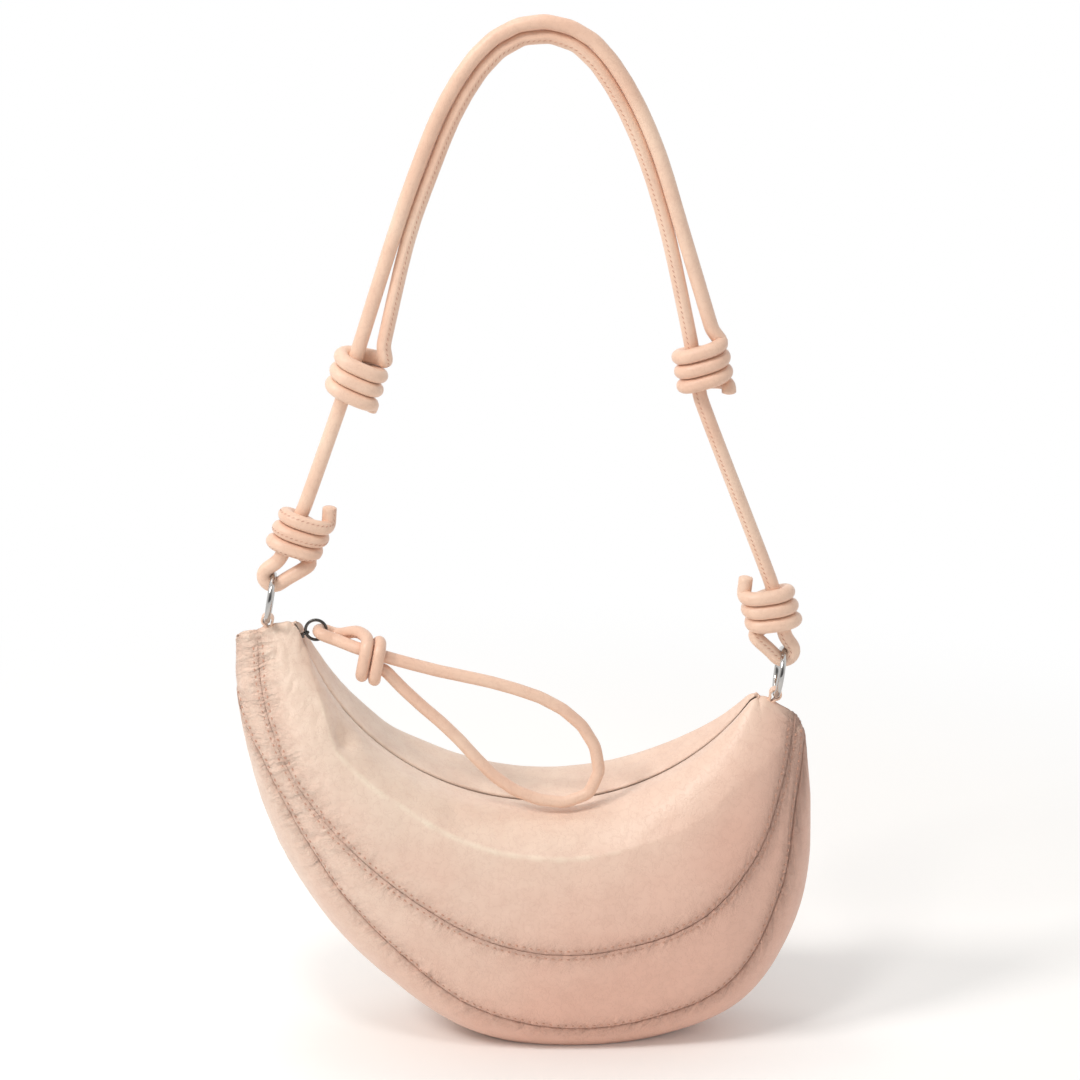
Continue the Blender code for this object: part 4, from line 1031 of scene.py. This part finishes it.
def make_slider():
    """Two waisted plates joined by the wedge, with an arched bridge that holds the pull ring."""
    neck, foot = block(*SLIDER_NECK), block(*SLIDER_FOOT)
    rounded(neck, neck.edges[:], 0.2 * MM)
    rounded(foot, foot.edges[:], 0.25 * MM)
    rise = np.linspace(BRIDGE_FOOT, BRIDGE_SPRING, 8)[:-1]
    arch = [(BRIDGE_X, BRIDGE_HALF_WIDTH, height) for height in rise]
    for turn in np.linspace(0.0, math.pi, 25):
        across, up = BRIDGE_HALF_WIDTH * math.cos(turn), BRIDGE_RISE * math.sin(turn)
        arch.append((BRIDGE_X, across, BRIDGE_SPRING + up))
    arch += [(BRIDGE_X, -BRIDGE_HALF_WIDTH, height) for height in rise[::-1]]
    bar, _ = tube_mesh("bridge", np.array(arch), BRIDGE_WIRE / 2, 12, step=0.25 * MM, rounding=0.2 * MM)
    bridge = bmesh.new()
    bridge.from_mesh(bar)
    for vert in bridge.verts:
        vert.co.x = BRIDGE_X + (vert.co.x - BRIDGE_X) * BRIDGE_STRETCH
    mesh = joined_mesh("slider_body", [*map(slider_plate, SLIDER_PLATE_DEPTHS), neck, foot, bridge])
    mesh.transform(on_zip(SLIDER_ANGLE))
    add_piece(mesh, "slider", "gunmetal", "zip_slider")


# Rings and tabs


def ring_mesh(name, centre, axis, radius, wire, rounds, sides):
    shape = bmesh.new()
    wire_place = Matrix.Translation((radius, 0, 0)) @ Matrix.Rotation(math.pi / 2, 4, "X")
    bmesh.ops.create_circle(shape, segments=sides, radius=wire / 2, matrix=wire_place)
    bmesh.ops.spin(
        shape, geom=[*shape.verts, *shape.edges], cent=(0, 0, 0), axis=(0, 0, 1), angle=2 * math.pi,
        steps=rounds, use_merge=True,
    )
    bmesh.ops.remove_doubles(shape, verts=shape.verts, dist=1e-6)
    bmesh.ops.recalc_face_normals(shape, faces=shape.faces)
    turn = Vector(axis).to_track_quat("Z", "Y").to_matrix().to_4x4()
    bmesh.ops.transform(shape, matrix=Matrix.Translation(centre) @ turn, verts=shape.verts)
    return mesh_of(name, shape)


def square_to(way):
    """A way in the plane of the zip's arc, square to one there: to the right of one that goes up."""
    return Vector((way.z, 0.0, -way.x))


def tip_wire(angle, share, outwards):
    """The middle of the ring's wire where the tab on a tip holds it, and the way out of the tip."""
    way = Vector((math.cos(angle), 0.0, math.sin(angle))) * outwards
    edge = Vector(in_space(angle, 0.0, ZIP_RADIUS + share * float(belly_depth(angle))))
    return edge + way * TIP_TO_WIRE, way


def make_tab(side, wire, way):
    """A leather strip that comes out of the closed tip, round the ring's wire and back in."""
    turns = np.linspace(-0.3 * math.pi, 1.3 * math.pi, 41)
    loop = [(TAB_RADIUS * math.cos(turn), TAB_RADIUS * math.sin(turn), TAB_HALF_WIDTH) for turn in turns]
    table = np.array([*TAB_LEG, *loop, *((-across, up, half) for across, up, half in reversed(TAB_LEG))])
    run = line_run(table[:, :2])

    def place(along, across):
        beside, out, half = at_places(along * run[-1], run, table).T[..., None]
        middle = np.array(wire) + beside * np.array(square_to(way)) + out * np.array(way)
        return middle[:, None] + (half * (2 * across - 1))[..., None] * np.array((0.0, 1.0, 0.0))

    mesh, _ = grid_mesh(f"tab_loop_{side}", place, 90, 8)
    piece = add_piece(mesh, "bag", "leather", f"tab_{side}", paint="cord")
    thicken(piece, TAB_LEATHER, 0.0)
    edges = piece.modifiers.new("rounded", "BEVEL")
    edges.width = TAB_EDGE
    edges.segments = 2
    edges.limit_method = "ANGLE"


def make_rings():
    """The steel rings in their tabs, and the pull ring. Returns the rings' tops and the last one's middle."""
    left, right = tip_wire(LEFT_TIP, LEFT_TAB_SHARE, -1), tip_wire(RIGHT_TIP, RIGHT_TAB_SHARE, 1)
    line = (right[0] - left[0]).normalized()
    above = -square_to(line)
    tops = []
    for side, (wire, way) in (("left", left), ("right", right)):
        centre = wire + RING_RADIUS * above
        mesh = ring_mesh(f"steel_ring_{side}", centre, line, RING_RADIUS, RING_WIRE, 96, 24)
        add_piece(mesh, f"{side}_ring", "steel", f"ring_{side}")
        make_tab(side, wire, way)
        tops.append(centre + RING_RADIUS * above)
    pull = on_zip(SLIDER_ANGLE) @ Vector((BRIDGE_X, 0.0, BRIDGE_SPRING + PULL_RING_RADIUS))
    mesh = ring_mesh("puller_ring", pull, (0.0, 1.0, 0.0), PULL_RING_RADIUS, PULL_RING_WIRE, 72, 20)
    add_piece(mesh, "slider_ring", "gunmetal", "pull_ring")
    return tops, pull


# Routes of the cords, as in the part's source


def curve_between(points):
    """Even points on the smooth curve from the second point of a list to the last but one."""
    dense = []
    for corners in zip(points, points[1:], points[2:], points[3:]):
        dense += [between_points(*corners, step / 24) for step in range(24)]
    dense.append(points[-2])
    run = line_run(dense)
    count = max(2, round(run[-1] / min(RUN_SPACING, run[-1] / len(points))))
    return [Vector(point) for point in at_places(np.linspace(0.0, run[-1], count + 1)[1:-1], run, dense)]


def racetrack(share, core, reach):
    """A point (across, forward) round two cords side by side, from the outer end of one of them."""
    quarter = math.pi * reach / 2
    half = 2 * quarter + 2 * core
    place = (share % 1.0) * 2 * half
    side = 1 if place < half else -1
    place %= half
    if quarter <= place < quarter + 2 * core:
        return side * (core + quarter - place), side * reach
    if place < quarter:
        across, turn = core, place / reach
    else:
        across, turn = -core, (place - 2 * core) / reach
    return side * (across + reach * math.cos(turn)), side * reach * math.sin(turn)


class Knot:
    """A wrapped knot round two cores, with its own directions: up the cords, across and forwards."""

    def __init__(self, centre, up, across, cord, turns):
        self.centre = Vector(centre)
        self.up = up.normalized()
        self.across = across.normalized()
        self.front = Vector((0.0, -1.0, 0.0))
        self.pitch = cord + WRAP_GAP
        self.turns = turns
        self.half_height = turns * self.pitch / 2

    def point(self, height, across=0.0, forward=0.0):
        return self.centre + self.up * height + self.across * across + self.front * forward

    def core(self, side, *heights):
        return [self.point(height, side * self.pitch / 2) for height in heights]

    def wraps(self, side, climb, hand):
        """The turns, from one end to the other: side and hand choose where they start and which way."""
        points = []
        for number in range(round(self.turns * POINTS_PER_TURN) + 1):
            share = number / POINTS_PER_TURN
            across, forward = racetrack(share, self.pitch / 2, self.pitch)
            height = climb * (share * self.pitch - self.half_height)
            points.append(self.point(height, side * across, hand * forward))
        return points


def strap_knot(centre, lean):
    up = Vector((math.sin(lean), 0.0, math.cos(lean)))
    return Knot(centre, up, square_to(up), STRAP_CORD, WRAP_TURNS)


def joined(pieces, via):
    """One list of points: the pieces with smooth runs between them, through via[n] before piece n."""
    points = list(pieces[0])
    for number, piece in enumerate(pieces[1:], 1):
        ahead = piece[min(1, len(piece) - 1)]
        points += curve_between([*points[-2:], *via.get(number, ()), piece[0], ahead])
        points += piece
    return points


def pair_route(side):
    """The route of one of the two cords that lie side by side over the top: side 1 is the outer one."""
    flat = [Vector((x, 0.0, z)) for x, z in STRAP_TOP_ROUTE]
    forwards = Vector((0.0, -PAIR_STAGGER, 0.0))
    return [
        point + side * (forwards - PAIR_SPREAD * square_to((ahead - behind).normalized()))
        for behind, point, ahead in zip(flat, flat[1:], flat[2:])
    ]


def half_ring(middle, radius, start, across, up):
    """Points half way round a middle, from a start angle."""
    turns = [start + math.pi * number / 8 for number in range(9)]
    return [middle + radius * (math.cos(turn) * across + math.sin(turn) * up) for turn in turns]


def strap_route(wire, first, second, far, side):
    """The route of a strap cord, tied to its ring and wrapped round the other cord. side 1 is the left."""
    end, clear, pitch = first.half_height, STRAP_CORD, first.pitch
    start = [
        first.point(end + TAIL_LENGTH, side * pitch),
        first.point(end + clear / 2, side * (pitch + clear / 3)),
        *reversed(first.wraps(side=side, climb=1, hand=-1)),
    ]
    up = (first.centre - wire).normalized()
    bight = half_ring(wire, (RING_WIRE + STRAP_CORD) / 2 + RING_CORD_GAP, math.pi, square_to(up), up)
    heights = (-end - clear / 2, 0.0, end + clear / 2)
    cores = [first.core(-side, *heights), second.core(-1, *heights), [far.point(end + clear, pitch)]]
    route = joined([start, bight[::-side], *cores], {4: pair_route(side)[::side]})
    return [*route, *far.wraps(side=1, climb=-1, hand=side), far.point(-end - STUB_LENGTH, pitch * 1.4)]


def puller_route(ring):
    """From the end tucked in the knot, round the loop, back through the knot, the ring and the wraps."""
    up = Vector((math.cos(PULLER_TILT), 0.0, math.sin(PULLER_TILT)))
    knot = Knot(PULLER_KNOT, up, -square_to(up), PULLER_CORD, PULLER_TURNS)
    end, clear = knot.half_height, PULLER_CORD
    way = Vector((knot.centre.x - ring.x, 0.0, knot.centre.z - ring.z)).normalized()
    radius = (PULL_RING_WIRE + PULLER_CORD) / 2 + PULLER_BIGHT_GAP
    through_ring = half_ring(ring + PULL_RING_RADIUS * way, radius, math.pi / 2, way, knot.front)
    via = {
        1: [Vector(point) for point in PULLER_LOOP],
        2: [through_ring[0] + clear * way],
        3: [through_ring[-1] + clear * way, knot.point(-end - 0.9 * clear, 1.4 * clear, -1.5 * clear)],
    }
    start = knot.core(-1, -end, 0.0, end + clear / 2)
    core = knot.core(1, end + clear / 2, 0.0, -end - clear / 2)
    return joined([start, core, through_ring, knot.wraps(side=1, climb=1, hand=1)], via)


# Cords


def evened(points, step):
    """Points an even step apart along a line."""
    run = line_run(points)
    return at_places(np.linspace(0.0, run[-1], max(4, round(run[-1] / step)) + 1), run, points)


def relaxed(points, step, reach):
    """The line with its corners rounded off, its ends kept."""
    even = evened(points, step)
    count = int(3 * reach / step)
    weights = np.exp(-0.5 * (np.arange(-count, count + 1) * step / reach) ** 2)
    before = 2 * even[0] - even[count:0:-1]
    after = 2 * even[-1] - even[-2 : -count - 2 : -1]
    padded = np.concatenate([before, even, after])
    smoothed = [np.convolve(column, weights / weights.sum(), "valid") for column in padded.T]
    return evened(np.stack(smoothed, axis=-1), step)


def carried_frames(points, towards):
    """Unit tangents and side vectors, turned as little as they can be, that face a point halfway along."""
    tangents = np.gradient(points, axis=0)
    tangents /= np.linalg.norm(tangents, axis=-1, keepdims=True)
    sides = np.zeros_like(points)
    half = len(points) // 2
    facing = np.array(towards) - points[half]
    sides[half] = facing - facing.dot(tangents[half]) * tangents[half]
    sides[half] /= np.linalg.norm(sides[half])
    for numbers in (range(half + 1, len(points)), range(half - 1, -1, -1)):
        previous = half
        for number in numbers:
            side = sides[previous] - sides[previous].dot(tangents[number]) * tangents[number]
            sides[number] = side / np.linalg.norm(side)
            previous = number
    return tangents, sides


def tube_mesh(name, points, radius, sides_count, step, rounding, towards=(0, 0, 0), groove=0.0):
    """A closed tube along a line, with rounded ends and a groove for a seam. Returns the seam's line too."""
    line = evened(points, step)
    tangents, sides = carried_frames(line, towards)
    run = line_run(line)

    def place(along, across):
        at = end_bunched(along, rounding / run[-1]) * run[-1]
        tables = (line, sides, np.cross(tangents, sides))
        middle, side, other = [at_places(at, run, table)[:, None] for table in tables]
        size = radius * dome(np.minimum(at, run[-1] - at), rounding)
        turn = 2 * np.pi * across
        from_seam = np.minimum(turn, 2 * np.pi - turn) * radius
        swell = 0.45 * bell((from_seam - SEAM_SWELL_PLACE) / SEAM_SWELL_WIDTH)
        dip = groove * (bell(from_seam / SEAM_WIDTH) - swell)
        reach = size[:, None] * (1 - dip / radius)
        return middle + reach[..., None] * (np.cos(turn)[:, None] * side + np.sin(turn)[:, None] * other)

    mesh, _ = grid_mesh(name, place, len(line) + 12, sides_count, weld=1e-6)
    scale_map(mesh, float(run[-1]), 2 * math.pi * radius)
    return mesh, (line + sides * radius, sides)


def end_bunched(shares, share_at_end):
    """Shares from 0 to 1 with more of them in the short stretch at each end."""
    knots = np.array([0.0, 0.012, 0.988, 1.0])
    values = np.array([0.0, share_at_end, 1 - share_at_end, 1.0])
    eased = np.interp(shares, knots, values)
    first = shares < knots[1]
    last = shares > knots[2]
    eased[first] = share_at_end * (1 - np.cos(np.pi / 2 * shares[first] / knots[1]))
    eased[last] = 1 - share_at_end * (1 - np.cos(np.pi / 2 * (1 - shares[last]) / knots[1]))
    return eased


def make_cord(name, node, route, diameter, towards, body):
    line = relaxed(np.array(route), CORD_STEP, CORD_SMOOTHING)
    mesh, seam = tube_mesh(name, line, diameter / 2, CORD_SIDES, CORD_STEP, CORD_END, towards, SEAM_DEPTH)
    piece = add_piece(mesh, body, "cord", node)
    frames = stitch_frames(*seam, CORD_STITCH_PITCH, CORD_STITCH_LIFT, CORD_STITCH_SLANT)
    stitches = repeated(f"{name}_stitching", stitch_bead(*CORD_STITCH), frames)
    stitching = add_piece(stitches, body, "cord", paint="thread")


# The whole bag


def make_paints():
    return {
        "leather": leather_paint("glove_leather", (242, 216, 197), (236, 191, 171), 0.16 * MM, body=True),
        "cord": leather_paint("cord_leather", (247, 215, 191), (239, 199, 174), 0.10 * MM),
        "lining": woven_paint("lining_cloth", (196, 168, 148), (158, 128, 110), 1600.0),
        "tape": woven_paint("zip_tape", (206, 164, 142), (164, 122, 102), 1800.0),
        "thread": thread_paint(),
        "steel": metal_paint("polished_steel", (0.50, 0.485, 0.47, 1.0), 0.10),
        "gunmetal": metal_paint("gunmetal", (0.11, 0.105, 0.10, 1.0), 0.22),
        "teeth": metal_paint("zip_metal", (0.42, 0.31, 0.24, 1.0), 0.28),
    }


def main():
    add_camera()
    light_studio()
    (left_wire, right_wire), pull = make_rings()
    knots = [strap_knot(*knot) for knot in STRAP_KNOTS]
    left, right = strap_route(left_wire, *knots[:3], 1), strap_route(right_wire, *knots[:0:-1], -1)
    inside, outside, behind = (0.0, -0.25, 0.36), (-0.3, 0.6, 0.9), (0.0, 0.3, 0.1)
    make_cord("strap_left_leather", "strap_cord_left", left, STRAP_SHOWN, outside, "strap")
    make_cord("strap_right_leather", "strap_cord_right", right, STRAP_SHOWN, inside, "strap")
    make_cord("puller_leather", "pull_cord", puller_route(pull), PULLER_SHOWN, behind, "puller")
    make_body()
    make_tapes()
    make_teeth()
    make_slider()
    for name in ("zip_stop_left", "zip_stop_right"):
        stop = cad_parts[name]
        stop.data.materials.clear()
        stop.data.materials.append(paints["teeth"])


paints = make_paints()
main()
